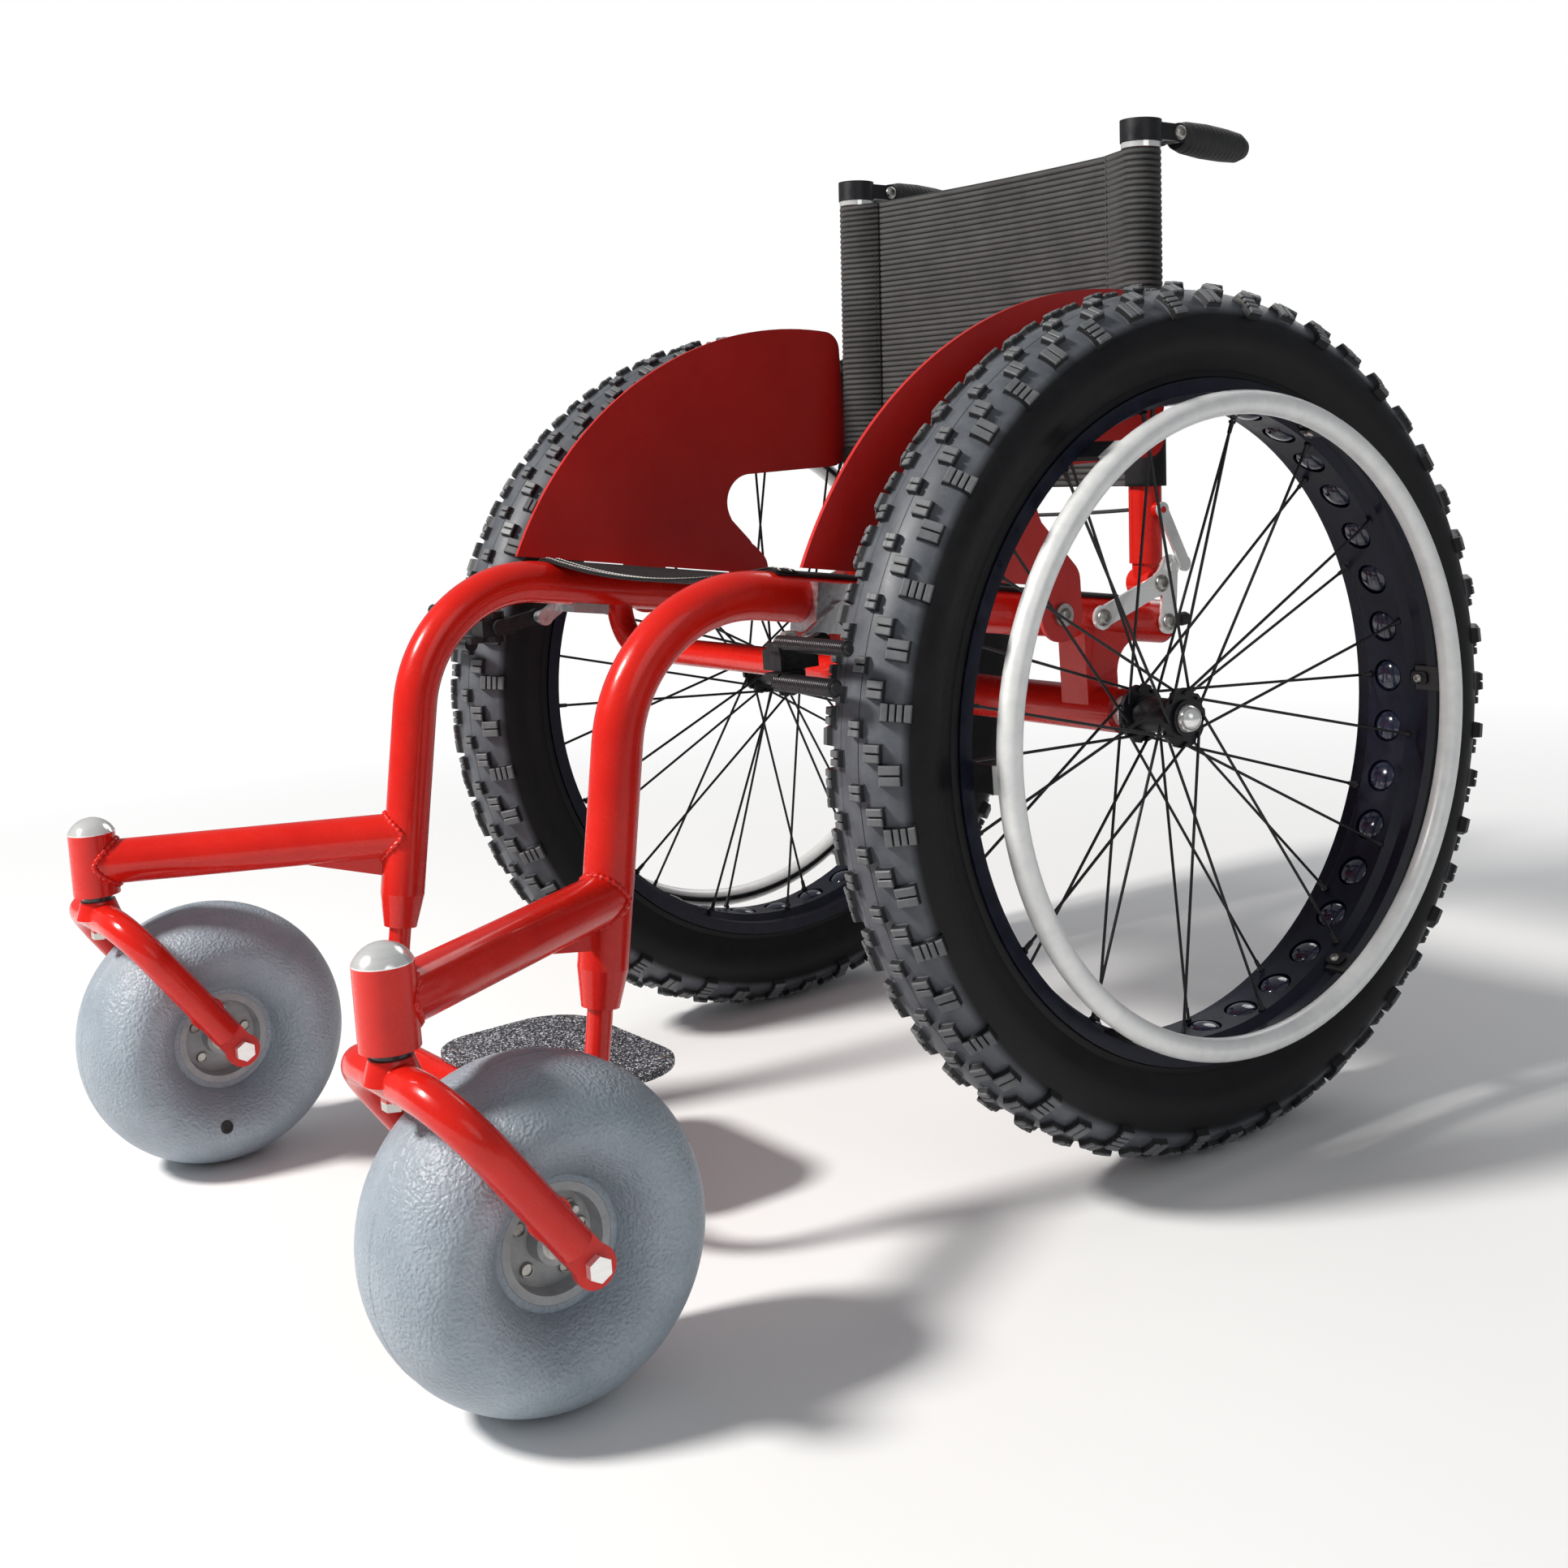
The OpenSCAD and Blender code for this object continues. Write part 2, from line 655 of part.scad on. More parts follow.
// Corners are rounded behind the front bolt; ahead of it the plate runs out in a point
module guard_outline() difference() {
    union() {
        offset(r = guard_corner_r) offset(delta = -guard_corner_r) {
            guard_plate();
            for (y = guard_bolt_ys)
                guard_lobe(y);
        }
        intersection() {
            guard_plate();
            translate([-guard_r, 0]) square([guard_r + guard_bolt_ys[1], axle_z + guard_r]);
        }
    }
    for (y = guard_bolt_ys)
        translate([y, rail_at(y).z]) circle(guard_bolt_r + seat_gap);
}

module side_guard(side) color(frame_red) at_axle() sided(side)
    translate([guard_x, 0, 0]) rotate([90, 0, 90]) linear_extrude(guard_t) guard_outline();

// Bolts that hold the guards, each with the spacer between rail and plate
guard_spacer_r = 11;
guard_head_r = 10;
guard_head_h = 4;

module guard_bolts() color(alloy)
    for (side = [left, right])
        difference() {
            at_axle() sided(side)
                for (y = guard_bolt_ys)
                    translate([0, y, rail_at(y).z]) {
                        x_bar(rail_at(y).x, guard_x - seat_gap, guard_spacer_r);
                        x_bar(rail_at(y).x, guard_x + guard_t + 1, guard_bolt_r);
                        x_bar(guard_x + guard_t + seat_gap, guard_x + guard_t + guard_head_h, guard_head_r);
                    }
            side_space(side) y_bar(corner_bend, rail_len, frame_r);
        }

// Fold-down back: hinge plates on the rails carry the pivot pins, a latch rests behind a stop pin
post_r = post_d / 2;
hinge_x = post_x + post_r + 1.3;
hinge_t = 3;
hinge_link_r = 11;
pivot_r = 5;
lug_half = 13;
lug_r = 13;
stop_pin = [13, 14];
stop_pin_r = 4;
hinge_bolt_ys = [-4, 78];
hinge_bolt_r = 6;
latch_x = hinge_x + hinge_t + free_gap;

module hinge_bolts(r)
    for (y = hinge_bolt_ys)
        translate([0, y, rail_at(y).z]) x_bar(rail_at(y).x, hinge_x + 1, r);

module hinge_plate(side) color(alloy) difference() {
    at_axle() sided(side) {
        pivot = [fold_y, fold_z];
        seats = [for (y = hinge_bolt_ys) [y, rail_at(y).z]];
        x_strap([seats[0], pivot, pivot + stop_pin, seats[1]], hinge_link_r, hinge_x, hinge_x + hinge_t);
        hinge_bolts(hinge_bolt_r);
        translate([0, pivot.x, pivot.y]) x_bar(post_x - lug_half, hinge_x + 1, pivot_r);
        translate([0, pivot.x + stop_pin.x, pivot.y + stop_pin.y])
            x_bar(hinge_x + 1, latch_x + hinge_t + free_gap, stop_pin_r);
    }
    side_space(side) rail_solid();
}

// Local frame of a post: origin at the fold pivot, the post along +Z
module post_space(side) at_axle() sided(side)
    translate([post_x, fold_y, fold_z]) rotate([-back_lean, 0, 0]) children();

lug_neck_r = 12.5;
post_foot = 18;
latch_pivot_z = 67;
latch_pin_r = 3;
latch_boss_r = 7;

module back_post(side) color(frame_red) post_space(side) difference() {
    boss_end = latch_x - free_gap - post_x;
    union() {
        z_bar(post_foot, post_len, post_r);
        z_bar(0, post_foot + 2, lug_neck_r);
        x_bar(-lug_half, lug_half, lug_r);
        translate([0, 0, latch_pivot_z]) {
            x_bar(0, boss_end, latch_boss_r);
            x_bar(0, boss_end + free_gap + hinge_t + free_gap, latch_pin_r);
        }
    }
    x_bar(-lug_half - 1, lug_half + 1, pivot_r + run_gap);
}

// Latch: a flat pawl on the post whose tip rests just behind the stop pin
latch_tip = [28, 17];
latch_r = 7;

module latch(side) color(satin_black) post_space(side) difference() {
    x_link([0, latch_pivot_z], latch_tip, latch_r, latch_x - post_x, latch_x - post_x + hinge_t);
    translate([0, 0, latch_pivot_z])
        x_bar(latch_x - post_x - 1, latch_x - post_x + hinge_t + 1, latch_pin_r + run_gap);
}

// Release cord between the posts, level with the latches
cord_r = 2;

module release_cord() color(satin_black) at_axle() translate([0, fold_y, fold_z]) rotate([-back_lean, 0, 0])
    translate([0, 0, latch_pivot_z]) x_bar(post_r - post_x + seat_gap, post_x - post_r - seat_gap, cord_r);

// Back sling: a sleeve on each post and a ribbed sheet between them
ring_h = 5;
clamp_seat = 12;
sleeve_r = post_r + 2;
sheet_t = 5;
rib_h = 1.5;
rib_count = 30;
sleeve_top = post_len - clamp_seat - ring_h - 2 * free_gap;
sleeve_foot = sleeve_top - back_h;

module back_sling() color(cloth_black) {
    pitch = back_h / rib_count;
    face = [for (i = [0:rib_count - 1], p = [[0, 0.1], [1, 0.3], [1, 0.7], [0, 0.9]])
        [sheet_t / 2 + rib_h * p.x, sleeve_foot + pitch * (i + p.y)]];
    at_axle() translate([0, fold_y, fold_z]) rotate([-back_lean, 0, 0])
        translate([post_r + free_gap - post_x, 0, 0]) rotate([90, 0, 90])
            linear_extrude(2 * (post_x - post_r - free_gap)) polygon(concat(face, reverse(flip_x(face))));
    for (side = [left, right])
        post_space(side) difference() {
            z_bar(sleeve_foot, sleeve_top, sleeve_r);
            z_bar(sleeve_foot - 1, sleeve_top + 1, post_r + seat_gap);
        }
}

// Bright rings above the sleeves
module post_rings() color(alloy)
    for (side = [left, right])
        post_space(side) translate([0, 0, sleeve_top + free_gap]) difference() {
            z_bar(0, ring_h, sleeve_r + 1);
            z_bar(-1, ring_h + 1, post_r + run_gap);
        }

// Push handles: a clamp on each post top with two cheeks, and a grip that folds down between them
clamp_r = 19;
clamp_h = 20;
cheek_out = 14;
cheek_in = 8.3;
cheek_r = 9;
grip_pivot_y = 36;
grip_pivot_z = post_len - clamp_seat + clamp_h / 2;
grip_pin_r = 4;
grip_r = 16;
grip_len = 88;
grip_start = 10;
grip_droop = 3;
// Outline of the moulded grip as shares of its radius and of its length
grip_outline = [[0, 0], [0.76, 0], [0.92, 0.12], [1, 0.4], [0.96, 0.7], [0.87, 0.9], [0.62, 1], [0, 1]];

module handle_clamps() color(satin_black)
    for (side = [left, right])
        post_space(side) {
            pivot = [grip_pivot_y, grip_pivot_z];
            difference() {
                union() {
                    z_bar(post_len - clamp_seat, post_len - clamp_seat + clamp_h, clamp_r);
                    x_link([0, grip_pivot_z], pivot, cheek_r, -cheek_out, cheek_out);
                }
                z_bar(post_len - clamp_seat - 1, post_len + seat_gap, post_r + seat_gap);
                translate([-cheek_in, grip_pivot_y - cheek_r - 3, grip_pivot_z - cheek_r - 1])
                    cube([2 * cheek_in, 3 * cheek_r, 2 * cheek_r + 2]);
            }
            translate([0, pivot.x, pivot.y]) x_bar(-cheek_out, cheek_out, grip_pin_r);
        }

module push_handle(side) color(satin_black) post_space(side)
    translate([0, grip_pivot_y, grip_pivot_z]) rotate([-grip_droop, 0, 0]) difference() {
        tongue_half = cheek_in - free_gap;
        union() {
            x_link([0, 0], [grip_start + 4, 0], cheek_r - 1, -tongue_half, tongue_half);
            translate([0, grip_start, 0]) rotate([-90, 0, 0])
                rotate_extrude() polygon([for (p = grip_outline) [p.x * grip_r, p.y * grip_len]]);
        }
        x_bar(-cheek_out, cheek_out, grip_pin_r + run_gap);
    }

// Wheel locks: a clamp on each rail carries a body with an upright pin for the lever and the shoe
brake_clamp_len = 40;
brake_clamp_low = 27;
brake_clamp_top = 14;
brake_clamp_in = 10;
brake_arm_r = 8;
brake_arm_t = 6;
brake_knee_ahead = 35;
brake_knee_drop = 28.5;
brake_knee = [brake_clamp_y - brake_knee_ahead, rail_at(brake_clamp_y).z - brake_knee_drop];
brake_tyre_lap = 12;
brake_pivot = [250, brake_tyre_lap - tyre_r];
brake_body = [24, 36, 16];
brake_body_z = 460;
brake_pin_r = 4;
brake_disc_r = 11;
brake_plate_t = 6;
lever_z = brake_body_z - free_gap - brake_plate_t;
shoe_z = brake_body_z + brake_body.z + free_gap;
lever_grip_r = 7;
lever_reach = 85;
lever_ahead = 20;
shoe_r = 6;
shoe_reach = 100;
shoe_ahead = 17;
brake_tip = 3;

module brake_clamps() color(alloy)
    for (side = [left, right]) {
        side_space(side) difference() {
            translate([-brake_clamp_in, rail_run(brake_clamp_y) - brake_clamp_len / 2, -brake_clamp_low])
                cube([brake_clamp_in + brake_clamp_low, brake_clamp_len, brake_clamp_low + brake_clamp_top]);
            y_bar(corner_bend, rail_len, frame_r + seat_gap);
        }
        difference() {
            at_axle() sided(side) {
                body_mid = brake_body_z + brake_body.z / 2;
                root = rail_at(brake_clamp_y).x + brake_clamp_low + brake_arm_t - 2;
                body_in = brake_pivot.x - brake_body.x / 2;
                x_link([brake_clamp_y, rail_at(brake_clamp_y).z - brake_arm_r], brake_knee, brake_arm_r,
                    root - brake_arm_t, root);
                translate([0, brake_knee.x, brake_knee.y])
                    x_bar(root - brake_arm_t / 2, body_in - brake_arm_t / 2, brake_arm_r - 2);
                x_link(brake_knee, [brake_pivot.y, body_mid], brake_arm_r, body_in - brake_arm_t, body_in + 1);
                translate([brake_pivot.x - brake_body.x / 2, brake_pivot.y - brake_body.y / 2, brake_body_z])
                    cube(brake_body);
                translate([brake_pivot.x, brake_pivot.y, 0])
                    z_bar(lever_z - free_gap, shoe_z + brake_plate_t + free_gap, brake_pin_r);
            }
            side_space(side) y_bar(corner_bend, rail_len, frame_r + seat_gap);
        }
    }

// Flat arm about the lock's pin that ends in a round bar across the front of the tyre
module brake_swing(z, ahead, reach, r, bar_z) translate([brake_pivot.x, brake_pivot.y, z]) difference() {
    union() {
        z_bar(0, brake_plate_t, brake_disc_r);
        translate([0, -ahead - brake_disc_r / 2, 0])
            cube([brake_disc_r + r, ahead + brake_disc_r / 2, brake_plate_t]);
        translate([0, -ahead, bar_z]) {
            x_bar(brake_disc_r, reach - brake_tip, r);
            translate([reach - brake_tip, 0, 0]) rotate([0, 90, 0])
                cylinder(h = brake_tip, r1 = r, r2 = r - brake_tip);
        }
    }
    z_bar(-r - 1, brake_plate_t + r + 1, brake_pin_r + run_gap);
}

module brake_lever(side) color(satin_black) at_axle() sided(side)
    brake_swing(lever_z, lever_ahead, lever_reach, lever_grip_r, brake_plate_t - lever_grip_r);

module brake_shoe(side) color(alloy) at_axle() sided(side)
    brake_swing(shoe_z, shoe_ahead, shoe_reach, shoe_r, shoe_r);

// Footrest: a tube that telescopes in the legs, a loop behind it and a plate on top
foot_insert = 110;
foot_bend = 50;
loop_r = 8;
loop_bend = 35;
loop_inset = 15;
foot_bar = [-corner_reach - foot_drop * sin(seat_dump), corner_z - foot_drop * cos(seat_dump)];

module footrest_frame() color(frame_red) {
    seat_space() translate([0, 0, -foot_drop]) rotate([180, 0, 0])
        u_tube(leg_x, foot_drop - leg_len + foot_insert, foot_bend, foot_r);
    at_axle() translate([0, foot_bar.x + plate_depth - loop_inset, foot_bar.y + foot_r - loop_r])
        rotate([-90, 0, 0]) u_tube(plate_w / 2 - loop_inset, plate_depth - loop_inset, loop_bend, loop_r);
}

foot_plate_t = 6;
plate_corner = 28;
plate_lip = 10;
plate_screw_r = 2.5;
plate_head_r = 5;
plate_head_h = 2;
plate_z = foot_bar.y + foot_r + seat_gap;
plate_screws = [for (x = [-1, 1], y = [0, 1])
    [x * (plate_w / 2 - loop_inset), foot_bar.x + y * (plate_depth - loop_inset - loop_bend)]];

module footplate() color(satin_black) at_axle() translate([0, 0, plate_z]) difference() {
    translate([-plate_w / 2, foot_bar.x - plate_lip, 0]) linear_extrude(foot_plate_t) {
        depth = plate_depth + plate_lip;
        translate([plate_corner, 0]) square([plate_w - 2 * plate_corner, depth]);
        translate([0, plate_corner]) square([plate_w, depth - 2 * plate_corner]);
        for (x = [plate_corner, plate_w - plate_corner], y = [plate_corner, depth - plate_corner])
            translate([x, y]) circle(plate_corner);
    }
    for (p = plate_screws)
        translate(p) {
            z_bar(-1, foot_plate_t + 1, plate_screw_r + run_gap);
            z_bar(foot_plate_t - plate_head_h - run_gap, foot_plate_t + 1, plate_head_r + run_gap);
        }
}

module footplate_screws() color(alloy) at_axle() translate([0, 0, plate_z])
    for (p = plate_screws)
        translate(p) {
            z_bar(0, foot_plate_t - 1, plate_screw_r);
            z_bar(foot_plate_t - plate_head_h, foot_plate_t - run_gap, plate_head_r);
        }

side_frame(left);  // side_frame_left
side_frame(right);  // side_frame_right
caster_arm(left);  // caster_arm_left
caster_arm(right);  // caster_arm_right
barrel_caps();
swivel_bearings();
axle_tube();
axle_bracket(left);  // axle_bracket_left
axle_bracket(right);  // axle_bracket_right
seat_cross_tube();
seat_sling();
side_guard(left);  // side_guard_left
side_guard(right);  // side_guard_right
guard_bolts();
hinge_plate(left);  // hinge_plate_left
hinge_plate(right);  // hinge_plate_right
brake_clamps();
wheel_axles();
back_post(left);  // back_post_left
back_post(right);  // back_post_right
back_sling();
post_rings();
handle_clamps();
release_cord();
latch(left);  // latch_left
latch(right);  // latch_right
push_handle(left);  // push_handle_left
push_handle(right);  // push_handle_right
tyre(left);  // tyre_left
tyre(right);  // tyre_right
rim(left);  // rim_left
rim(right);  // rim_right
spokes(left);  // spokes_left
spokes(right);  // spokes_right
hub(left);  // hub_left
hub(right);  // hub_right
hub_bearings(left);  // hub_bearings_left
hub_bearings(right);  // hub_bearings_right
handrim(left);  // handrim_left
handrim(right);  // handrim_right
fork(left);  // fork_left
fork(right);  // fork_right
caster_axle(left);  // caster_axle_left
caster_axle(right);  // caster_axle_right
caster_tyre(left);  // caster_tyre_left
caster_tyre(right);  // caster_tyre_right
caster_hub(left);  // caster_hub_left
caster_hub(right);  // caster_hub_right
caster_bearings(left);  // caster_bearings_left
caster_bearings(right);  // caster_bearings_right
brake_lever(left);  // brake_lever_left
brake_lever(right);  // brake_lever_right
brake_shoe(left);  // brake_shoe_left
brake_shoe(right);  // brake_shoe_right
footrest_frame();
footplate();
footplate_screws();
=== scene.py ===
import math

import bmesh
import bpy
from mathutils import Matrix, Vector


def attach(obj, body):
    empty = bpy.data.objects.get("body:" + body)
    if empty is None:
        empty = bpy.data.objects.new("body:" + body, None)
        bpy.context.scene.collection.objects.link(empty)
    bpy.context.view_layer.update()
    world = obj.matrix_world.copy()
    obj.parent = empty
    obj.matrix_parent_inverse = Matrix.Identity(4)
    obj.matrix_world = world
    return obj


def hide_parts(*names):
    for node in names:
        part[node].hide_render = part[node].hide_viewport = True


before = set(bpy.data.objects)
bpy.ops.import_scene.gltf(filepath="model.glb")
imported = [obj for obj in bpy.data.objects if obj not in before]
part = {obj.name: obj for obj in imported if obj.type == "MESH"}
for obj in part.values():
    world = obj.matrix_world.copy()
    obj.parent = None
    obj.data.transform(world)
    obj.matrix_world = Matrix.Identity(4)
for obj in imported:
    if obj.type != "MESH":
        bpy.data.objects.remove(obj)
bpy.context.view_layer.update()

# The view: a low camera at the chair's left front corner, on a pale studio floor.
# The floor fades to plain white a little way behind the chair and keeps the chair's shadow.
# Places along the chair are measured from the rear axle, which stands at AXLE_Y.
AXLE_Y = 0.20075
WHITE = (1.0, 1.0, 1.0, 1.0)
FLOOR_FADE = (0.9, 2.4)


def add_object(name, data):
    made = bpy.data.objects.new(name, data)
    bpy.context.scene.collection.objects.link(made)
    return made


def feed(tree, node, inputs):
    """Sets inputs of a node, each to a plain value or to the output that feeds it."""
    for socket, value in inputs.items():
        if isinstance(value, bpy.types.NodeSocket):
            tree.links.new(value, node.inputs[socket])
        else:
            node.inputs[socket].default_value = value


def add_node(tree, kind, inputs, **settings):
    node = tree.nodes.new("ShaderNode" + kind)
    for name, value in settings.items():
        setattr(node, name, value)
    feed(tree, node, inputs)
    return node


def grid(columns, rows, size=1.0):
    mesh = bmesh.new()
    bmesh.ops.create_grid(mesh, x_segments=columns, y_segments=rows, size=size)
    return mesh


def mesh_data(name, mesh):
    data = bpy.data.meshes.new(name)
    mesh.to_mesh(data)
    mesh.free()
    return data


def studio_lamp(name, place, aim, size, power, colour=(1.0, 1.0, 1.0)):
    data = bpy.data.lights.new(name, "AREA")
    data.shape = "DISK"
    data.size = size
    data.energy = power
    data.color = colour
    lamp = add_object(name, data)
    lamp.location = place
    lamp.rotation_euler = (Vector(aim) - Vector(place)).to_track_quat("-Z", "Y").to_euler()


camera_data = bpy.data.cameras.new("photo_camera")
camera_data.sensor_width = 36.0
camera_data.lens = 45.47
camera_data.shift_x = -0.0103
camera_data.shift_y = -0.1318
camera_data.clip_end = 100.0
camera = add_object("photo_camera", camera_data)
camera.matrix_world = Matrix((
    (0.586181, -0.027619, 0.809709, 1.49718),
    (0.807045, 0.107748, -0.580576, -1.239619 + AXLE_Y),
    (-0.071210, 0.993794, 0.085450, 0.660713),
    (0.0, 0.0, 0.0, 1.0),
))
bpy.context.scene.camera = camera
bpy.context.scene.view_settings.view_transform = "Standard"

world = bpy.data.worlds.new("studio")
bpy.context.scene.world = world
world.use_nodes = True
sky = world.node_tree
sky.nodes.clear()
ray = add_node(sky, "LightPath", {}).outputs
seen = add_node(sky, "Math", {0: ray["Is Camera Ray"], 1: ray["Is Transmission Ray"]}, operation="MAXIMUM")
soft = add_node(sky, "Background", {"Color": (0.93, 0.96, 1.0, 1.0), "Strength": 0.27})
plain = add_node(sky, "Background", {"Color": WHITE, "Strength": 1.0})
both = add_node(sky, "MixShader", {0: seen.outputs[0], 1: soft.outputs[0], 2: plain.outputs[0]})
add_node(sky, "OutputWorld", {0: both.outputs[0]})

studio_lamp("key_lamp", (-0.9, -3.2, 3.3), (0.1, 0.0, 0.4), 0.7, 235.0, (1.0, 0.97, 0.93))
studio_lamp("side_lamp", (3.4, -0.6, 2.0), (0.2, 0.0, 0.4), 2.2, 12.0)
studio_lamp("rear_lamp", (-1.2, 3.0, 2.6), (0.0, 0.0, 0.5), 2.0, 26.0)

floor_data = mesh_data("studio_floor", grid(4, 4, 20.0))
floor = add_object("studio_floor", floor_data)
floor_finish = bpy.data.materials.new("studio_floor")
floor_finish.use_nodes = True
ground = floor_finish.node_tree
ground.nodes.clear()
far = add_node(ground, "VectorMath", {0: add_node(ground, "TexCoord", {}).outputs["Object"]}, operation="LENGTH")
fade = add_node(ground, "MapRange", {"Value": far.outputs["Value"], "From Min": FLOOR_FADE[0],
                                     "From Max": FLOOR_FADE[1]})
ray = add_node(ground, "LightPath", {}).outputs
seen = add_node(ground, "Math", {0: fade.outputs["Result"], 1: ray["Is Camera Ray"]}, operation="MULTIPLY")
matt = add_node(ground, "BsdfDiffuse", {"Color": (0.9, 0.9, 0.9, 1.0)})
plain = add_node(ground, "Emission", {"Color": WHITE})
both = add_node(ground, "MixShader", {0: seen.outputs[0], 1: matt.outputs[0], 2: plain.outputs[0]})
add_node(ground, "OutputMaterial", {"Surface": both.outputs[0]})
floor_data.materials.append(floor_finish)

# The welded frame, fork and footrest tubes: bent steel tube with a thick glossy red powder coat.
# The coat has a fine orange-peel ripple, and it is a little duller where hands and feet rub it.
RED = (0.56, 0.008, 0.004)
RED_LIGHT = (0.68, 0.016, 0.008)


class Finish:
    """A material in the making, with textures that lie in object coordinates."""

    def __init__(self, name, values=None):
        self.material = bpy.data.materials.new(name)
        self.material.use_nodes = True
        self.tree = self.material.node_tree
        self.shader = self.tree.nodes["Principled BSDF"]
        self.place = self.node("TexCoord", {}).outputs["Object"]
        self.normal = None
        self.feed(values or {})

    def feed(self, inputs):
        feed(self.tree, self.shader, inputs)

    def node(self, kind, inputs, **settings):
        return add_node(self.tree, kind, inputs, **settings)

    def math(self, operation, *values):
        return self.node("Math", dict(enumerate(values)), operation=operation).outputs[0]

    def vector(self, operation, *values):
        return self.node("VectorMath", dict(enumerate(values)), operation=operation).outputs

    def axes(self):
        return self.node("SeparateXYZ", {0: self.place}).outputs

    def grain(self, scale, detail=4.0, rough=0.55, place=None):
        """Cloudy noise."""
        place = self.place if place is None else place
        noise = self.node("TexNoise", {"Vector": place, "Scale": scale, "Detail": detail, "Roughness": rough})
        return noise.outputs["Fac"]

    def wave(self, direction, scale):
        """Even bands across one direction."""
        bands = self.node("TexWave", {"Vector": self.place, "Scale": scale}, bands_direction=direction)
        return bands.outputs["Fac"]

    def ramp(self, value, *stops):
        """Colours that follow a value from stop to stop."""
        band = self.node("ValToRGB", {"Fac": value})
        elements = band.color_ramp.elements
        while len(elements) < len(stops):
            elements.new(0.5)
        for element, (where, colour) in zip(elements, stops):
            element.position = where
            element.color = (*colour, 1.0)
        return band.outputs["Color"]

    def spread(self, value, low, high, start=0.3, stop=0.7):
        """A value that runs from low to high while another runs from start to stop."""
        ends = {"From Min": start, "From Max": stop, "To Min": low, "To Max": high}
        return self.node("MapRange", {"Value": value, **ends}).outputs["Result"]

    def step(self, value, low, high, where, blur=0.0002):
        """A change from low to high where a value passes a place."""
        return self.spread(value, low, high, where - blur, where + blur)

    def layer(self, share, under, over):
        """One colour over another, by a share."""
        return self.node("Mix", {"Factor": share, "A": under, "B": over}, data_type="RGBA").outputs["Result"]

    def colour(self, value, *stops):
        self.feed({"Base Color": self.ramp(value, *stops)})

    def rough(self, value, *span):
        self.feed({"Roughness": self.spread(value, *span)})

    def raise_grain(self, height, distance, strength):
        """Bumps, on top of those that the finish already has."""
        inputs = {"Height": height, "Distance": distance, "Strength": strength}
        if self.normal is not None:
            inputs["Normal"] = self.normal
        self.normal = self.node("Bump", inputs).outputs["Normal"]
        self.feed({"Normal": self.normal})


def powder_coat(name):
    """The rubbed shine and the ripple of a red coat, without its colour."""
    coat = Finish(name, {"Coat Weight": 0.3, "Coat Roughness": 0.05, "Specular IOR Level": 0.25})
    coat.rough(coat.grain(55.0, 6.0, 0.7), 0.18, 0.32)
    coat.raise_grain(coat.grain(420.0, 2.0), 0.00012, 0.4)
    return coat


def dress(names, finish):
    for name in names:
        for slot in part[name].material_slots:
            slot.material = finish.material


def pairs(*names):
    return [name + side for name in names for side in ("_left", "_right")]


red_coat = powder_coat("red_powder_coat")
red_coat.colour(red_coat.grain(14.0), (0.3, RED), (0.72, RED_LIGHT))
dress(pairs("side_frame", "caster_arm", "axle_bracket", "back_post")
      + ["axle_tube", "seat_cross_tube", "footrest_frame"], red_coat)

# The forks wear the same red coat, but the nut under the crown is plated and the neck under the barrel is dark.
# Nut and neck lie round the swivel axis, so they are told apart by their distance from it and their height.
SWIVEL = (0.316, -0.54325, 0.0)
NUT_R = 0.0125
NUT_TOP = 0.2343
NECK_LOW = 0.2635

fork_coat = powder_coat("fork_red_coat")
x, y, z = fork_coat.axes()
level = fork_coat.node("CombineXYZ", {"X": fork_coat.math("ABSOLUTE", x), "Y": y}).outputs[0]
from_axis = fork_coat.vector("DISTANCE", level, SWIVEL)["Value"]
nut_share = fork_coat.math("MULTIPLY", fork_coat.step(from_axis, 1.0, 0.0, NUT_R),
                           fork_coat.step(z, 1.0, 0.0, NUT_TOP))
neck_share = fork_coat.step(z, 0.0, 1.0, NECK_LOW)
cloud = fork_coat.grain(14.0)
coat_red = fork_coat.ramp(cloud, (0.3, RED), (0.72, RED_LIGHT))
nut_grey = fork_coat.ramp(cloud, (0.3, (0.42, 0.41, 0.39)), (0.72, (0.62, 0.61, 0.58)))
neck_dark = fork_coat.ramp(cloud, (0.3, (0.02, 0.02, 0.022)), (0.72, (0.05, 0.05, 0.052)))
with_nut = fork_coat.layer(nut_share, coat_red, nut_grey)
fork_coat.feed({"Base Color": fork_coat.layer(neck_share, with_nut, neck_dark), "Metallic": nut_share})
dress(pairs("fork"), fork_coat)

# The side guards are flat aluminium sheets in the same red coat, in a deeper shade.
# Their broad faces show faint brushing under the coat and a few fine scuffs.
guard_coat = Finish("guard_red_coat", {"Coat Weight": 0.2, "Coat Roughness": 0.15})
guard_coat.colour(guard_coat.grain(9.0, 6.0, 0.6), (0.3, (0.48, 0.008, 0.006)), (0.7, (0.60, 0.014, 0.010)))
guard_coat.rough(guard_coat.grain(120.0, 8.0, 0.75), 0.28, 0.5)
guard_coat.raise_grain(guard_coat.grain(380.0, 2.0), 0.0001, 0.5)
dress(pairs("side_guard"), guard_coat)

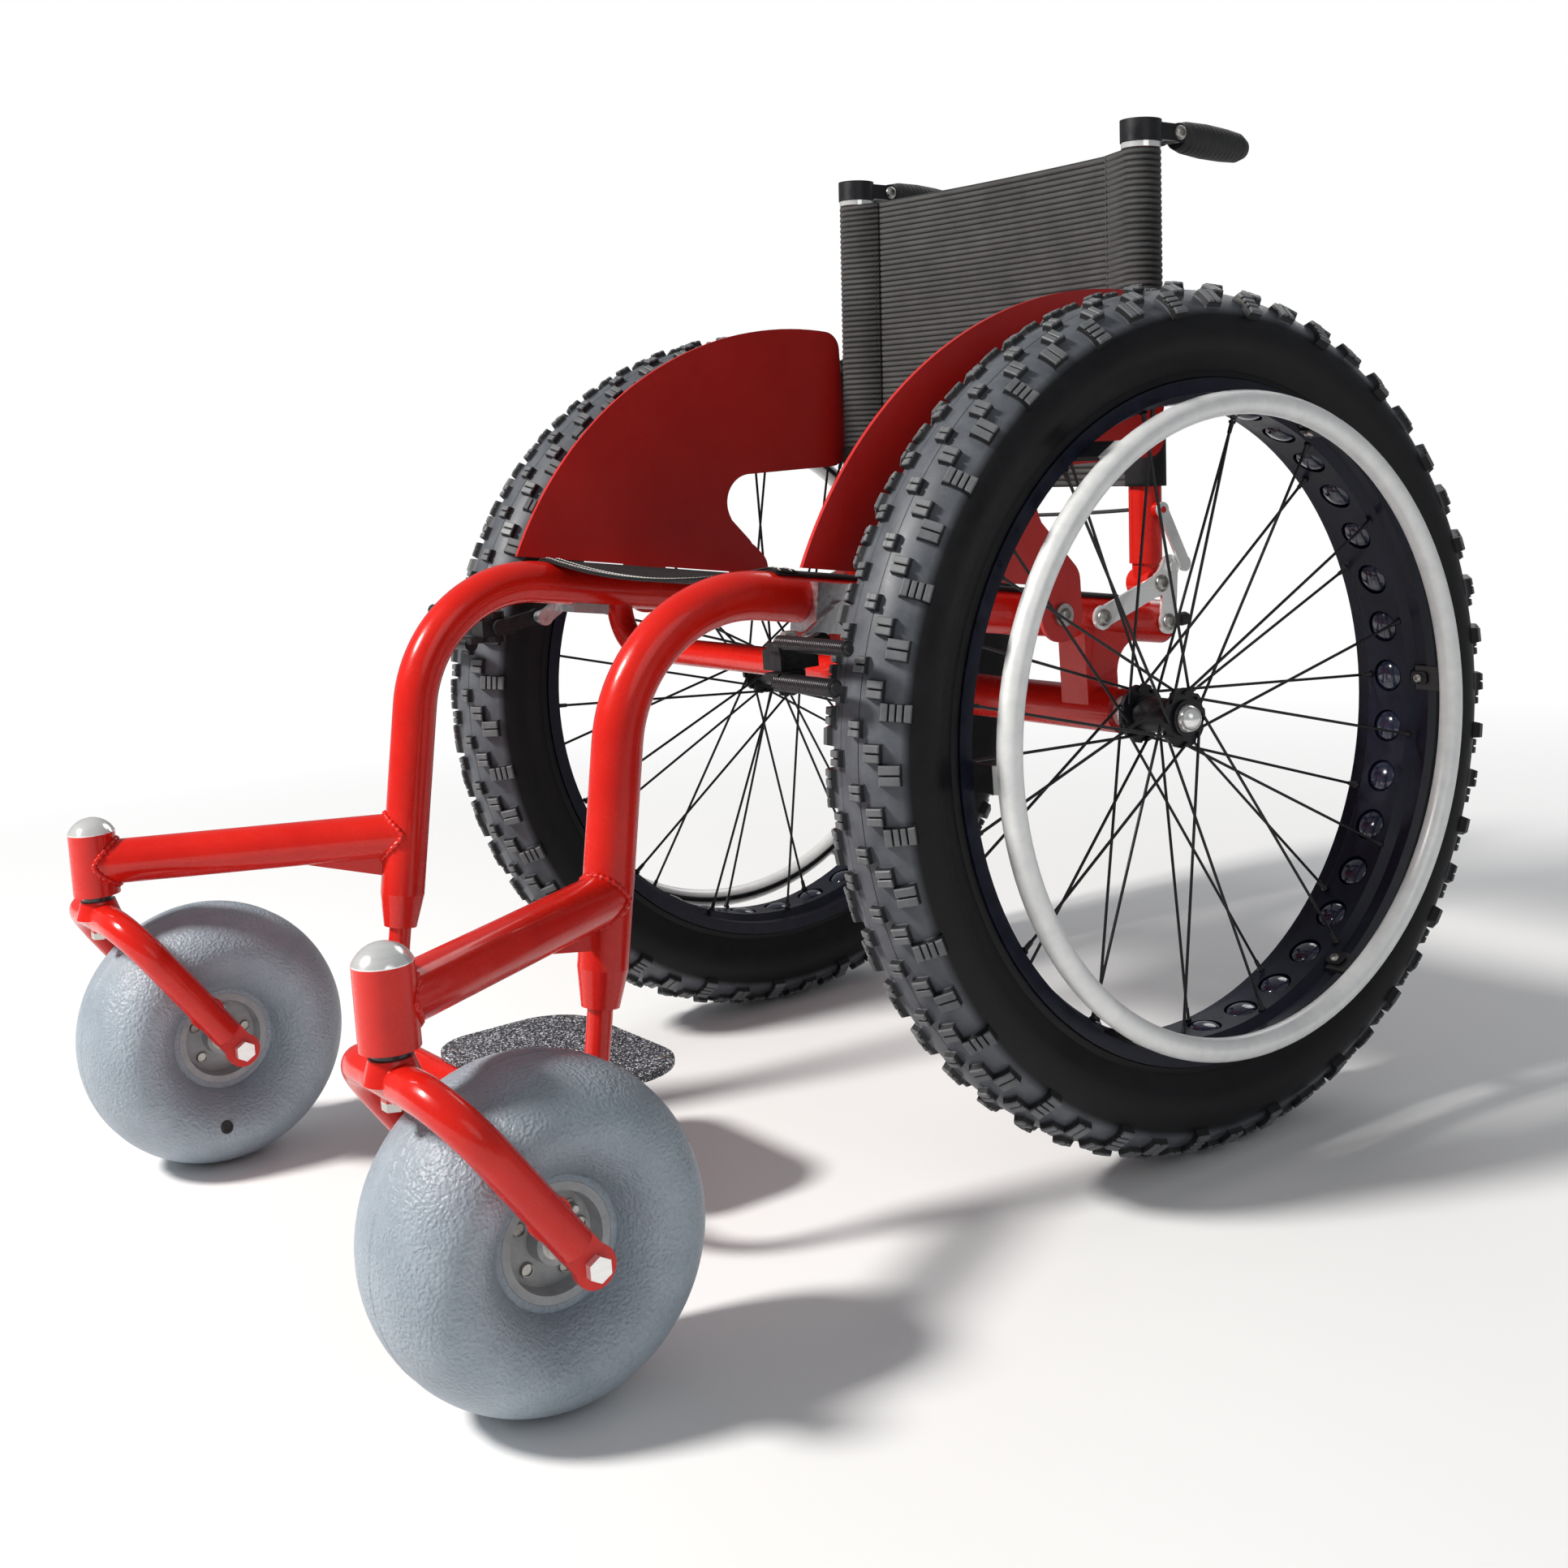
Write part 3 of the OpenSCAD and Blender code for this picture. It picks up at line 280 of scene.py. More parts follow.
# Black hard parts: spokes, hubs and handle clamps are anodised or painted satin black.
# Their faces are a little worn to grey along the edges, with a fine blasted texture.
black_satin = Finish("satin_black", {"Specular IOR Level": 0.35})
worn = black_satin.grain(90.0, 8.0, 0.7)
black_satin.colour(worn, (0.35, (0.006, 0.006, 0.008)), (0.68, (0.013, 0.013, 0.016)),
                   (0.82, (0.040, 0.040, 0.044)))
black_satin.rough(worn, 0.30, 0.5)
black_satin.raise_grain(black_satin.grain(1400.0, 2.0), 0.00006, 0.5)
dress(pairs("spokes", "hub") + ["handle_clamps"], black_satin)

# The rims are rolled from wide aluminium strip with a row of round cut-outs, and anodised a deep navy black.
# The anodised skin is smooth, with faint cloudy patches where the strip was drawn.
rim_navy = Finish("rim_navy", {"Specular IOR Level": 0.25})
patchy = rim_navy.grain(60.0, 6.0, 0.6)
rim_navy.colour(patchy, (0.3, (0.004, 0.005, 0.012)), (0.75, (0.010, 0.012, 0.027)))
rim_navy.rough(patchy, 0.26, 0.42)
rim_navy.raise_grain(rim_navy.grain(1400.0, 2.0), 0.00005, 0.5)
dress(pairs("rim"), rim_navy)

# The brake levers and shoe rods are blackened steel, turned with fine rings so that they grip the tread.
# The rings are painted lighter on their ridges as a painted highlight and darker between them as painted shade; oil
# and handling leave the shine patchy.
brake_steel = Finish("blackened_steel", {"Metallic": 0.4})
turned_rings = brake_steel.wave("X", 130.0)
oily = brake_steel.grain(140.0, 6.0, 0.65)
# Painted highlight on the ridges of the rings and painted shade in the grooves between them.
brake_steel.colour(turned_rings, (0.0, (0.004, 0.004, 0.005)), (0.8, (0.022, 0.022, 0.025)))
brake_steel.rough(oily, 0.26, 0.44)
brake_steel.raise_grain(turned_rings, 0.0005, 0.7)
brake_steel.raise_grain(oily, 0.0001, 0.5)
dress(pairs("brake_lever", "brake_shoe"), brake_steel)

# Bright parts: barrel caps, hinge plates, latches and wheel pins are polished aluminium or zinc-plated steel.
# Polishing leaves fine scratches that run one way and a little haze between them.
polished = Finish("polished_alloy", {"Metallic": 0.62})
stretch = polished.node("Mapping", {"Vector": polished.place, "Scale": (30.0, 30.0, 700.0)})
brushed = polished.grain(1.0, 6.0, 0.7, stretch.outputs["Vector"])
polished.colour(brushed, (0.3, (0.86, 0.86, 0.86)), (0.7, (0.97, 0.97, 0.95)))
polished.rough(polished.grain(70.0, 5.0, 0.6), 0.08, 0.22)
polished.raise_grain(brushed, 0.00002, 0.2)
dress(pairs("hinge_plate", "latch", "caster_axle") + ["barrel_caps", "wheel_axles", "post_rings"], polished)

# Plain steel: bearings, guard bolts and small screws are dull zinc-plated steel.
# The plating is cloudy and slightly yellow, with darker dirt in the hollows.
plated = Finish("plated_steel", {"Metallic": 1.0})
cloudy = plated.grain(160.0, 7.0, 0.7)
plated.colour(cloudy, (0.3, (0.30, 0.29, 0.27)), (0.7, (0.60, 0.59, 0.56)))
plated.rough(cloudy, 0.28, 0.48)
plated.raise_grain(plated.grain(1100.0, 3.0), 0.00005, 0.5)
dress(pairs("hub_bearings", "caster_bearings") + ["swivel_bearings", "guard_bolts"], plated)

# The rail clamps of the brakes are bare extruded aluminium; their arms and pivot bodies are black.
# The bare part sits close round the rail, so it is told apart by its distance from the chair's middle.
BARE_REACH = 0.2300

extruded = Finish("brake_clamp_alloy", {"Specular IOR Level": 0.2})
out = extruded.math("ABSOLUTE", extruded.axes()["X"])
black_share = extruded.step(out, 0.0, 1.0, BARE_REACH, 0.0005)
drawn = extruded.grain(240.0, 6.0, 0.7)
bare = extruded.ramp(drawn, (0.3, (0.52, 0.52, 0.54)), (0.7, (0.74, 0.74, 0.75)))
dark = extruded.ramp(drawn, (0.35, (0.010, 0.010, 0.011)), (0.75, (0.030, 0.030, 0.033)))
extruded.feed({"Base Color": extruded.layer(black_share, bare, dark),
               "Metallic": extruded.spread(black_share, 1.0, 0.0, 0.0, 1.0)})
extruded.rough(drawn, 0.26, 0.46)
extruded.raise_grain(drawn, 0.00008, 0.5)
dress(["brake_clamps"], extruded)

# The handrims are satin anodised aluminium tube, held to the rim by six black tabs each.
# Tube and tabs are one welded piece, so the finish changes at the tube's inner side.
RIM_TUBE_X = 0.3829

anodised = Finish("handrim_anodised")
out = anodised.math("ABSOLUTE", anodised.axes()["X"])
tube_share = anodised.step(out, 0.0, 1.0, RIM_TUBE_X)
rubbed = anodised.grain(60.0, 8.0, 0.65)
silver = anodised.ramp(rubbed, (0.3, (0.73, 0.74, 0.74)), (0.7, (0.85, 0.86, 0.85)))
tab_black = anodised.ramp(rubbed, (0.3, (0.010, 0.010, 0.011)), (0.8, (0.035, 0.035, 0.038)))
anodised.feed({"Base Color": anodised.layer(tube_share, tab_black, silver),
               "Metallic": anodised.spread(tube_share, 0.0, 0.2, 0.0, 1.0)})
anodised.rough(rubbed, 0.32, 0.44)
anodised.raise_grain(anodised.grain(900.0, 2.0), 0.00005, 0.5)
dress(pairs("handrim"), anodised)

# The caster hubs are grey moulded nylon with a fine spark-eroded texture from the mould.
# They look a little chalky where the sun has bleached them.
hub_nylon = Finish("caster_hub_nylon")
chalk = hub_nylon.grain(130.0, 7.0, 0.7)
hub_nylon.colour(chalk, (0.3, (0.30, 0.31, 0.32)), (0.75, (0.44, 0.45, 0.46)))
hub_nylon.rough(chalk, 0.42, 0.6)
hub_nylon.raise_grain(hub_nylon.grain(1300.0, 3.0), 0.0001, 0.6)
dress(pairs("caster_hub"), hub_nylon)

# The push handle grips are soft black rubber moulded over the tube.
# The moulding has fine rings for the fingers and a dull, slightly dusty skin.
grip_rubber = Finish("grip_rubber")
dust = grip_rubber.grain(110.0, 8.0, 0.7)
grip_rubber.colour(dust, (0.35, (0.012, 0.012, 0.013)), (0.75, (0.035, 0.035, 0.036)))
grip_rubber.rough(dust, 0.55, 0.75)
grip_rubber.raise_grain(grip_rubber.wave("Y", 55.0), 0.0006, 0.6)
grip_rubber.raise_grain(grip_rubber.grain(900.0, 3.0), 0.00012, 0.6)
dress(pairs("push_handle"), grip_rubber)

# The rear tyres are wide knobbly tyres: a smooth round casing that carries six rows of moulded knobs.
# Each knob has sloped sides and a cut across it; thin mould lines run round between the rows.
# The tread is dusty grey. The walls are black, partly from the rubber and partly as painted shade; the knobs' flanks
# are painted darker as painted shade and their tops lighter as a painted highlight.
WHEEL_X = 0.3215
WHEEL_Z = 0.372
CASING_HALF = 0.047
CASING_R = 0.365
CASING_MID = 0.326
CASING_DEEP = CASING_R - CASING_MID
BEAD_R = 0.2811
TYRE_WALL = 0.004
WALL_EDGE = (0.0395, 0.0435)
SHOULDER_R = (0.330, 0.336)
MOULD_LINE_X = 0.0106
FLANK_STAND = (1.015, 1.04)
TOP_STAND = (1.125, 1.14)
KNOBS_ROUND = 48
PLAIN_SHIFT = 5.0
SIDES = {"left": 1, "right": -1}

rubber = Finish("tyre_rubber")
x, y, z = rubber.axes()


def folded_away(value, *amounts):
    """Distance of a coordinate from each amount in turn, folded so that both sides read alike."""
    for amount in amounts:
        value = rubber.math("ABSOLUTE", rubber.math("SUBTRACT", value, amount))
    return value


across = folded_away(x, 0.0, WHEEL_X)
round_axle = rubber.node("CombineXYZ", {"Y": y, "Z": z}).outputs[0]
from_axle = rubber.vector("DISTANCE", round_axle, (0.0, AXLE_Y, WHEEL_Z))["Value"]
in_section = rubber.node("CombineXYZ", {"X": across, "Y": from_axle}).outputs[0]
in_casings = rubber.vector("MULTIPLY_ADD", in_section, (1 / CASING_HALF, 1 / CASING_DEEP, 0.0),
                           (0.0, -CASING_MID / CASING_DEEP, 0.0))["Vector"]
stand = rubber.vector("LENGTH", in_casings)["Value"]
on_tread = rubber.spread(from_axle, 0.0, 1.0, *SHOULDER_R)
wall_share = rubber.math("MAXIMUM", rubber.spread(across, 0.0, 1.0, *WALL_EDGE),
                         rubber.spread(on_tread, 1.0, 0.0, 0.0, 1.0))


def knob_share(start, stop):
    """Share of a knob's flank or top, from how far a point stands out in casing radii."""
    return rubber.math("MULTIPLY", rubber.spread(stand, 0.0, 1.0, start, stop), on_tread)


mould_line = rubber.spread(folded_away(across, MOULD_LINE_X), 0.0, 1.0, 0.0002, 0.0005)
dusty = rubber.grain(45.0, 8.0, 0.65)
tread_dust = rubber.ramp(dusty, (0.3, (0.064, 0.070, 0.082)), (0.75, (0.118, 0.128, 0.146)))
# The wall colour is partly painted shade, the flank colour is painted shade, and the top colour is a painted
# highlight.
wall_black_and_painted_shade = rubber.ramp(dusty, (0.3, (0.005, 0.005, 0.006)), (0.75, (0.011, 0.011, 0.013)))
flank_painted_shade = rubber.ramp(dusty, (0.3, (0.006, 0.006, 0.007)), (0.75, (0.018, 0.018, 0.020)))
top_painted_highlight = rubber.ramp(dusty, (0.3, (0.100, 0.105, 0.112)), (0.75, (0.165, 0.170, 0.178)))
skin = rubber.layer(wall_share, tread_dust, wall_black_and_painted_shade)
skin = rubber.layer(mould_line, (0.006, 0.006, 0.007, 1.0), skin)
skin = rubber.layer(knob_share(*FLANK_STAND), skin, flank_painted_shade)
skin = rubber.layer(knob_share(*TOP_STAND), skin, top_painted_highlight)
rubber.feed({"Base Color": skin, "Specular IOR Level": rubber.spread(wall_share, 0.45, 0.2, 0.0, 1.0)})
rubber.rough(dusty, 0.40, 0.58)
rubber.raise_grain(mould_line, 0.0004, 0.8)
rubber.raise_grain(rubber.grain(700.0, 4.0), 0.00015, 0.6)


def make_piece(name, mesh, finish, sharp=None, smooth=True):
    data = mesh_data(name, mesh)
    for face in data.polygons:
        face.use_smooth = smooth
    if sharp is not None:
        data.set_sharp_from_angle(angle=math.radians(sharp))
    data.materials.append(finish.material)
    return add_object(name, data)


def face_out(mesh):
    bmesh.ops.recalc_face_normals(mesh, faces=mesh.faces[:])


def draw_out(mesh, face, vec):
    drawn = bmesh.ops.extrude_face_region(mesh, geom=[face])
    bmesh.ops.translate(mesh, verts=[v for v in drawn["geom"] if isinstance(v, bmesh.types.BMVert)], vec=vec)
    face_out(mesh)


def round_edges(mesh, edges, offset, segments):
    bmesh.ops.bevel(mesh, geom=edges, offset=offset, segments=segments, profile=0.5, affect="EDGES", material=-1)


def turn_section(mesh, section, steps):
    """Spins a closed section of (x, radius) points about the X axis."""
    points = [mesh.verts.new((x, 0.0, r)) for x, r in section]
    edges = [mesh.edges.new((a, b)) for a, b in zip(points, points[1:] + points[:1])]
    bmesh.ops.spin(mesh, geom=points + edges, cent=(0, 0, 0), axis=(1, 0, 0),
                   angle=2 * math.pi, steps=steps, use_merge=True)
    bmesh.ops.remove_doubles(mesh, verts=mesh.verts[:], dist=1e-6)
    face_out(mesh)


def casing_point(angle, inset=0.0):
    a = math.radians(angle)
    return ((CASING_HALF - inset) * math.sin(a), CASING_MID + (CASING_DEEP - inset) * math.cos(a))


def knob_block(length, width, height, cuts):
    """One knob on the XY plane: its section has cuts in the top and is drawn out to the knob's width."""
    knob = bmesh.new()
    flare, slit, deep, root, taper, rounding = 0.0012, 0.0007, 0.0026, -0.002, 0.86, 0.0006
    crown = length / 2
    top = [(-crown, height)]
    for middle in cuts:
        top += [(middle - slit, height), (middle - slit, height - deep), (middle + slit, height - deep),
                (middle + slit, height)]
    section = [(-crown - flare, root)] + top + [(crown, height), (crown + flare, root)]
    face = knob.faces.new([knob.verts.new((-width / 2, y, z)) for y, z in section])
    draw_out(knob, face, (width, 0, 0))
    for v in knob.verts:
        if v.co.z > 0:
            v.co.x *= taper
    face_out(knob)
    edges = [e for e in knob.edges if min(v.co.z for v in e.verts) > 0 and len(e.link_faces) == 2
             and e.calc_face_angle() > 0.6]
    round_edges(knob, edges, rounding, 1)
    return mesh_data("knob", knob)


def stamp(mesh, shape, put):
    """Adds a copy of a small shape to a mesh, moved by the matrix put."""
    count = len(mesh.verts)
    mesh.from_mesh(shape)
    mesh.verts.ensure_lookup_table()
    bmesh.ops.transform(mesh, matrix=put, verts=mesh.verts[count:])


def discard(*shapes):
    for shape in shapes:
        bpy.data.meshes.remove(shape)


def wheel_place(way):
    """From the left wheel's own frame to the chair's, mirrored for the right wheel."""
    return Matrix.Translation((way * WHEEL_X, AXLE_Y, WHEEL_Z)) @ Matrix.Diagonal((way, 1, 1, 1))


outer = [casing_point(a) for a in range(-120, 121, 6)]
bead = [(0.0362, 0.2955), (0.0374, 0.2935), (0.0374, 0.2900), (0.0358, 0.2880), (0.0358, BEAD_R)]
inner = [casing_point(a, TYRE_WALL) for a in range(112, -113, -14)]
foot = [(0.0318, BEAD_R)]
casing_section = [(-x, r) for x, r in reversed(bead)] + outer + bead + foot + inner + [(-x, r) for x, r in foot]
# Casing angle, length round the tyre, width across it, height, cuts, turned cuts, share of a pitch
rows = [(13.0, 0.0115, 0.0115, 0.0068, (0.0,), False, 0.0), (31.0, 0.0130, 0.0145, 0.0068, (0.0,), False, 0.36),
        (52.0, 0.0150, 0.0230, 0.0068, (-0.0055, 0.0, 0.0055), True, 0.70)]
for side, way in SIDES.items():
    tyre = bmesh.new()
    for angle, length, width, height, cuts, turned, phase in rows:
        block = knob_block(width if turned else length, length if turned else width, height, cuts)
        plain = knob_block(length, width * 0.8, height, (0.0,))
        spun = Matrix.Rotation(math.pi / 2, 4, "Z") if turned else Matrix()
        for hand, start in ((1, 0.0), (-1, 0.5)):
            for i in range(KNOBS_ROUND):
                turn = 2 * math.pi * (i + phase + start) / KNOBS_ROUND
                is_plain = turned and i % 2 == 1
                seat_angle = angle - PLAIN_SHIFT if is_plain else angle
                x, r = casing_point(seat_angle)
                slope = math.atan2(CASING_DEEP * math.sin(math.radians(seat_angle)),
                                   CASING_HALF * math.cos(math.radians(seat_angle)))
                put = (Matrix.Rotation(turn, 4, "X") @ Matrix.Translation((hand * x, 0, r))
                       @ Matrix.Rotation(hand * slope, 4, "Y"))
                stamp(tyre, plain if is_plain else block, put if is_plain else put @ spun)
        discard(block, plain)
    turn_section(tyre, casing_section, 180)
    bmesh.ops.transform(tyre, matrix=wheel_place(way), verts=tyre.verts[:])
    if way < 0:
        bmesh.ops.reverse_faces(tyre, faces=tyre.faces[:])
    piece = make_piece("tyre_tread_" + side, tyre, rubber, sharp=35)
    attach(piece, "wheel_" + side)
    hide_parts("tyre_" + side)

# The caster tyres are soft grey balloon tyres, moulded in one piece with a leather-like grain.
# They are blown up round the hub, and a low seam from the mould runs round the middle.
CASTER_PLACE = (0.316, -0.6535 + AXLE_Y, 0.120)
BALLOON_R = 0.120
BALLOON_HALF = 0.066
BALLOON_MID = 0.0805
CASTER_HUB_R = 0.0412
CASTER_HUB_HALF = 0.033
BALLOON_FLAT = 6

balloon_skin = Finish("balloon_skin")
cloud = balloon_skin.grain(22.0, 6.0, 0.6)
balloon_skin.colour(cloud, (0.3, (0.255, 0.305, 0.355)), (0.72, (0.345, 0.400, 0.455)))
balloon_skin.rough(cloud, 0.36, 0.5)
warp = balloon_skin.node("TexNoise", {"Vector": balloon_skin.place, "Scale": 160.0}).outputs["Color"]
warped = balloon_skin.vector("MULTIPLY_ADD", warp, (0.004, 0.004, 0.004), balloon_skin.place)["Vector"]
creases = balloon_skin.node("TexVoronoi", {"Vector": warped, "Scale": 390.0}, feature="SMOOTH_F1")
balloon_skin.raise_grain(creases.outputs["Distance"], 0.0015, 0.8)
balloon_skin.raise_grain(balloon_skin.grain(900.0, 3.0), 0.0002, 0.5)


def balloon_point(angle):
    a = math.radians(angle)
    reach = (BALLOON_R - BALLOON_MID) / math.cos(math.radians(BALLOON_FLAT))
    return BALLOON_HALF * math.sin(a), BALLOON_MID + reach * math.cos(a)


def on_side(place, way):
    return Vector((way * place[0], place[1], place[2]))


arc = [balloon_point(a) for a in range(BALLOON_FLAT, 151, 6)]
seam = [(0.0005, BALLOON_R - 0.0001), (0.0012, BALLOON_R - 0.0006)]
lip = [(0.0335, 0.0450), (CASTER_HUB_HALF, 0.0435), (CASTER_HUB_HALF, CASTER_HUB_R)]
half = seam + arc + lip
balloon_section = [(-x, r) for x, r in reversed(half)] + half
for side, way in SIDES.items():
    balloon = bmesh.new()
    turn_section(balloon, balloon_section, 128)
    bmesh.ops.translate(balloon, verts=balloon.verts[:], vec=on_side(CASTER_PLACE, way))
    piece = make_piece("balloon_tyre_" + side, balloon, balloon_skin, sharp=50)
    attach(piece, "caster_wheel_" + side)
    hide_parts("caster_tyre_" + side)

# The seat sling is black woven nylon, stretched between the rails and lapped over their tops.
# Its edges are bound with tape, and two rows of light thread hold the binding at the front.
# The rear tape stops short of the rails, so that the folded posts lie flat on the cloth.
CORNER = (0.182, -0.461 + AXLE_Y, 0.532)
DUMP = math.radians(9.5)
TOE = math.radians(2.7)
RAIL_R = 0.020
RAIL_LAP = 0.011
SLING_FRONT = 0.128
SLING_REAR = 0.5000
SLING_SAG = 0.014
TAPE_WIDE = 0.020
TAPE_LIFT = 0.0020
REAR_TAPE = 0.85
SEAT_STITCHES = 70
STITCH_LIFT = 0.0033
SEAT = Matrix.Translation((0.0, CORNER[1], CORNER[2])) @ Matrix.Rotation(-DUMP, 4, "X")

nylon = Finish("seat_nylon", {"Specular IOR Level": 0.12, "Sheen Weight": 0.04, "Sheen Roughness": 0.4})
weave = nylon.node("TexVoronoi", {"Vector": nylon.place, "Scale": 700.0, "Randomness": 0.12},
                   distance="CHEBYCHEV").outputs["Distance"]
nylon.colour(nylon.grain(18.0, 7.0, 0.65), (0.3, (0.012, 0.012, 0.013)), (0.72, (0.030, 0.030, 0.032)))
nylon.rough(weave, 0.55, 0.8, 0.0, 0.6)
nylon.raise_grain(weave, 0.0005, 0.7)


def sling_height(x, rail_x, wrap):
    """Height of the sling over the rail line: round over the rail top, and a slack dip between the rails."""
    tangent = rail_x - 2 * SLING_SAG / rail_x * wrap
    edge = math.sqrt(wrap ** 2 - (rail_x - tangent) ** 2)
    if abs(x) <= tangent:
        return edge - SLING_SAG * (1 - (x / tangent) ** 2)
    return math.sqrt(max(wrap ** 2 - (abs(x) - rail_x) ** 2, 1e-9))


def sling_point(across, along, lift):
    """A point of the sling from its share across (-1 to 1) and its run along the rails."""
    rail_x = CORNER[0] + along * math.tan(TOE)
    x = across * (rail_x + RAIL_LAP)
    return SEAT @ Vector((x, along, sling_height(x, rail_x, RAIL_R + 0.0006 + lift)))


def sling_strip(rows, front, rear, reach, lift):
    """A strip of cloth that lies on the sling's form between two runs along the rails."""
    strip = grid(64, rows)
    for v in strip.verts:
        v.co = sling_point(v.co.x * reach, front + (rear - front) * (v.co.y + 1) / 2, lift)
    return strip


def thicken(piece, thickness, offset):
    wall = piece.modifiers.new("thickness", "SOLIDIFY")
    wall.thickness = thickness
    wall.offset = offset


seat_cloth = make_piece("seat_cloth", sling_strip(40, SLING_FRONT, SLING_REAR, 1.0, 0.0), nylon)
thicken(seat_cloth, 0.0018, 1.0)
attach(seat_cloth, "frame")
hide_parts("seat_sling")

binding = Finish("binding_tape", {"Specular IOR Level": 0.12})
rib = binding.wave("X", 260.0)
binding.colour(rib, (0.0, (0.016, 0.016, 0.017)), (1.0, (0.040, 0.040, 0.042)))
binding.rough(rib, 0.6, 0.8, 0.0, 1.0)
binding.raise_grain(rib, 0.0003, 0.6)
for name, front, rear, reach in (("front", SLING_FRONT - 0.001, SLING_FRONT + TAPE_WIDE, 1.0),
                                 ("rear", SLING_REAR - TAPE_WIDE, SLING_REAR + 0.001, REAR_TAPE)):
    piece = make_piece("seat_binding_" + name, sling_strip(3, front, rear, reach, TAPE_LIFT), binding)
    thicken(piece, 0.0011, 1.0)
    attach(piece, "frame")


def thread_finish(name, dark, light, rough):
    made = Finish(name)
    twist = made.grain(900.0, 3.0)
    made.colour(twist, (0.3, dark), (0.7, light))
    made.rough(twist, *rough)
    made.raise_grain(twist, 0.0002, 0.6)
    return made


def sew(mesh, start, stop, thick):
    """One stitch: a flattened bead of thread from start to stop."""
    run = stop - start
    bead = bmesh.ops.create_cone(mesh, cap_ends=True, segments=6, radius1=thick, radius2=thick * 0.7,
                                 depth=run.length)
    turn = run.to_track_quat("Z", "Y").to_matrix().to_4x4()
    bmesh.ops.transform(mesh, matrix=Matrix.Translation((start + stop) / 2) @ turn, verts=bead["verts"])


thread = thread_finish("light_thread", (0.36, 0.35, 0.33), (0.62, 0.61, 0.58), (0.6, 0.85))
stitches = bmesh.new()
for along in (SLING_FRONT + 0.004, SLING_FRONT + 0.015):
    for i in range(SEAT_STITCHES):
        ends = [sling_point(-1 + 2 * (i + e) / SEAT_STITCHES, along, STITCH_LIFT) for e in (0.12, 0.88)]
        sew(stitches, ends[0], ends[1], 0.0007)
seat_stitches = make_piece("seat_stitches", stitches, thread)
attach(seat_stitches, "frame")

# The back sling is black ribbed upholstery cloth with a sewn sleeve at each side that slips over a post.
# The ribs run across; two rows of thread close each sleeve, and the cloth bows a little to the rear.
# A patch of plain black nylon is sewn round the lower end of each sleeve, where it rubs on the post.
POST_X = 0.212
FOLD = (AXLE_Y + 0.071, 0.478)
LEAN = math.radians(3.6)
BACK = Matrix.Translation((0.0, FOLD[0], FOLD[1])) @ Matrix.Rotation(-LEAN, 4, "X")
BACK_LOW = 0.0895
BACK_HIGH = 0.3040
BACK_BOW = 0.010
BACK_RIBS = 54
RIB_H = 0.0017
RIB_CUTS = 6
SLEEVE_R = 0.0164
PATCH_SHARE = 0.15
PATCH_OUT = 0.0026
SEW_X = 0.176
SEW_LAP = 0.016
BACK_STITCHES = 52

ribbed = Finish("ribbed_cloth", {"Specular IOR Level": 0.3, "Sheen Weight": 0.15, "Sheen Roughness": 0.45})
fibre = ribbed.node("TexVoronoi", {"Vector": ribbed.place, "Scale": 900.0}).outputs["Distance"]
faded = ribbed.grain(24.0, 7.0, 0.65)
crest = ribbed.node("Attribute", {}, attribute_name="rib").outputs["Fac"]
# The ribs' crests are painted lighter as a painted highlight, and their grooves painted near black as painted shade.
crest_painted_highlight = ribbed.ramp(faded, (0.3, (0.054, 0.053, 0.053)), (0.72, (0.094, 0.092, 0.091)))
groove_painted_shade = ribbed.ramp(faded, (0.3, (0.004, 0.004, 0.004)), (0.72, (0.009, 0.009, 0.009)))
ribbed.feed({"Base Color": ribbed.layer(ribbed.spread(crest, 0.0, 1.0, 0.5, 1.0), groove_painted_shade, crest_painted_highlight)})
ribbed.rough(fibre, 0.5, 0.75, 0.0, 0.6)
ribbed.raise_grain(fibre, 0.0004, 0.6)


def rib_height(share):
    """Height of the rounded ribs at a share of the cloth's height; the grooves between them are sharp."""
    return RIB_H * abs(math.sin(math.pi * share * BACK_RIBS))


def back_bow(x, height):
    """How far the cloth stands behind the posts' plane, more in the middle than at the sleeves."""
    return BACK_BOW * max(0.0, 1 - (x / SEW_X) ** 2) * (0.75 + 0.25 * math.sin(math.pi * height))


panel = grid(36, BACK_RIBS * RIB_CUTS)
mark = panel.verts.layers.float.new("rib")
for v in panel.verts:
    x, share = v.co.x * (SEW_X + SEW_LAP), (v.co.y + 1) / 2
    v[mark] = rib_height(share) / RIB_H
    v.co = BACK @ Vector((x, back_bow(x, share) - rib_height(share), BACK_LOW + BACK_HIGH * share))
back_panel = make_piece("back_panel", panel, ribbed)
thicken(back_panel, 0.0026, 0.0)
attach(back_panel, "backrest")
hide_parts("back_sling")

loop = [(SEW_X - 0.006, 0.0030)]
for i in range(21):
    a = math.radians(125 - i * 250 / 20)
    loop.append((POST_X + SLEEVE_R * math.cos(a), SLEEVE_R * math.sin(a)))
loop.append((SEW_X - 0.006, -0.0030))
last = len(loop) - 1


def sleeve_point(way, i, height, out):
    """A point at step i of the loop round a post, stood out from the loop."""
    (x0, y0), (x1, y1) = loop[max(i - 1, 0)], loop[min(i + 1, last)]
    away = Vector((y0 - y1, x1 - x0, 0.0)).normalized()
    flat = Vector((*loop[i], 0.0)) + away * out
    return BACK @ Vector((way * flat.x, flat.y, height))


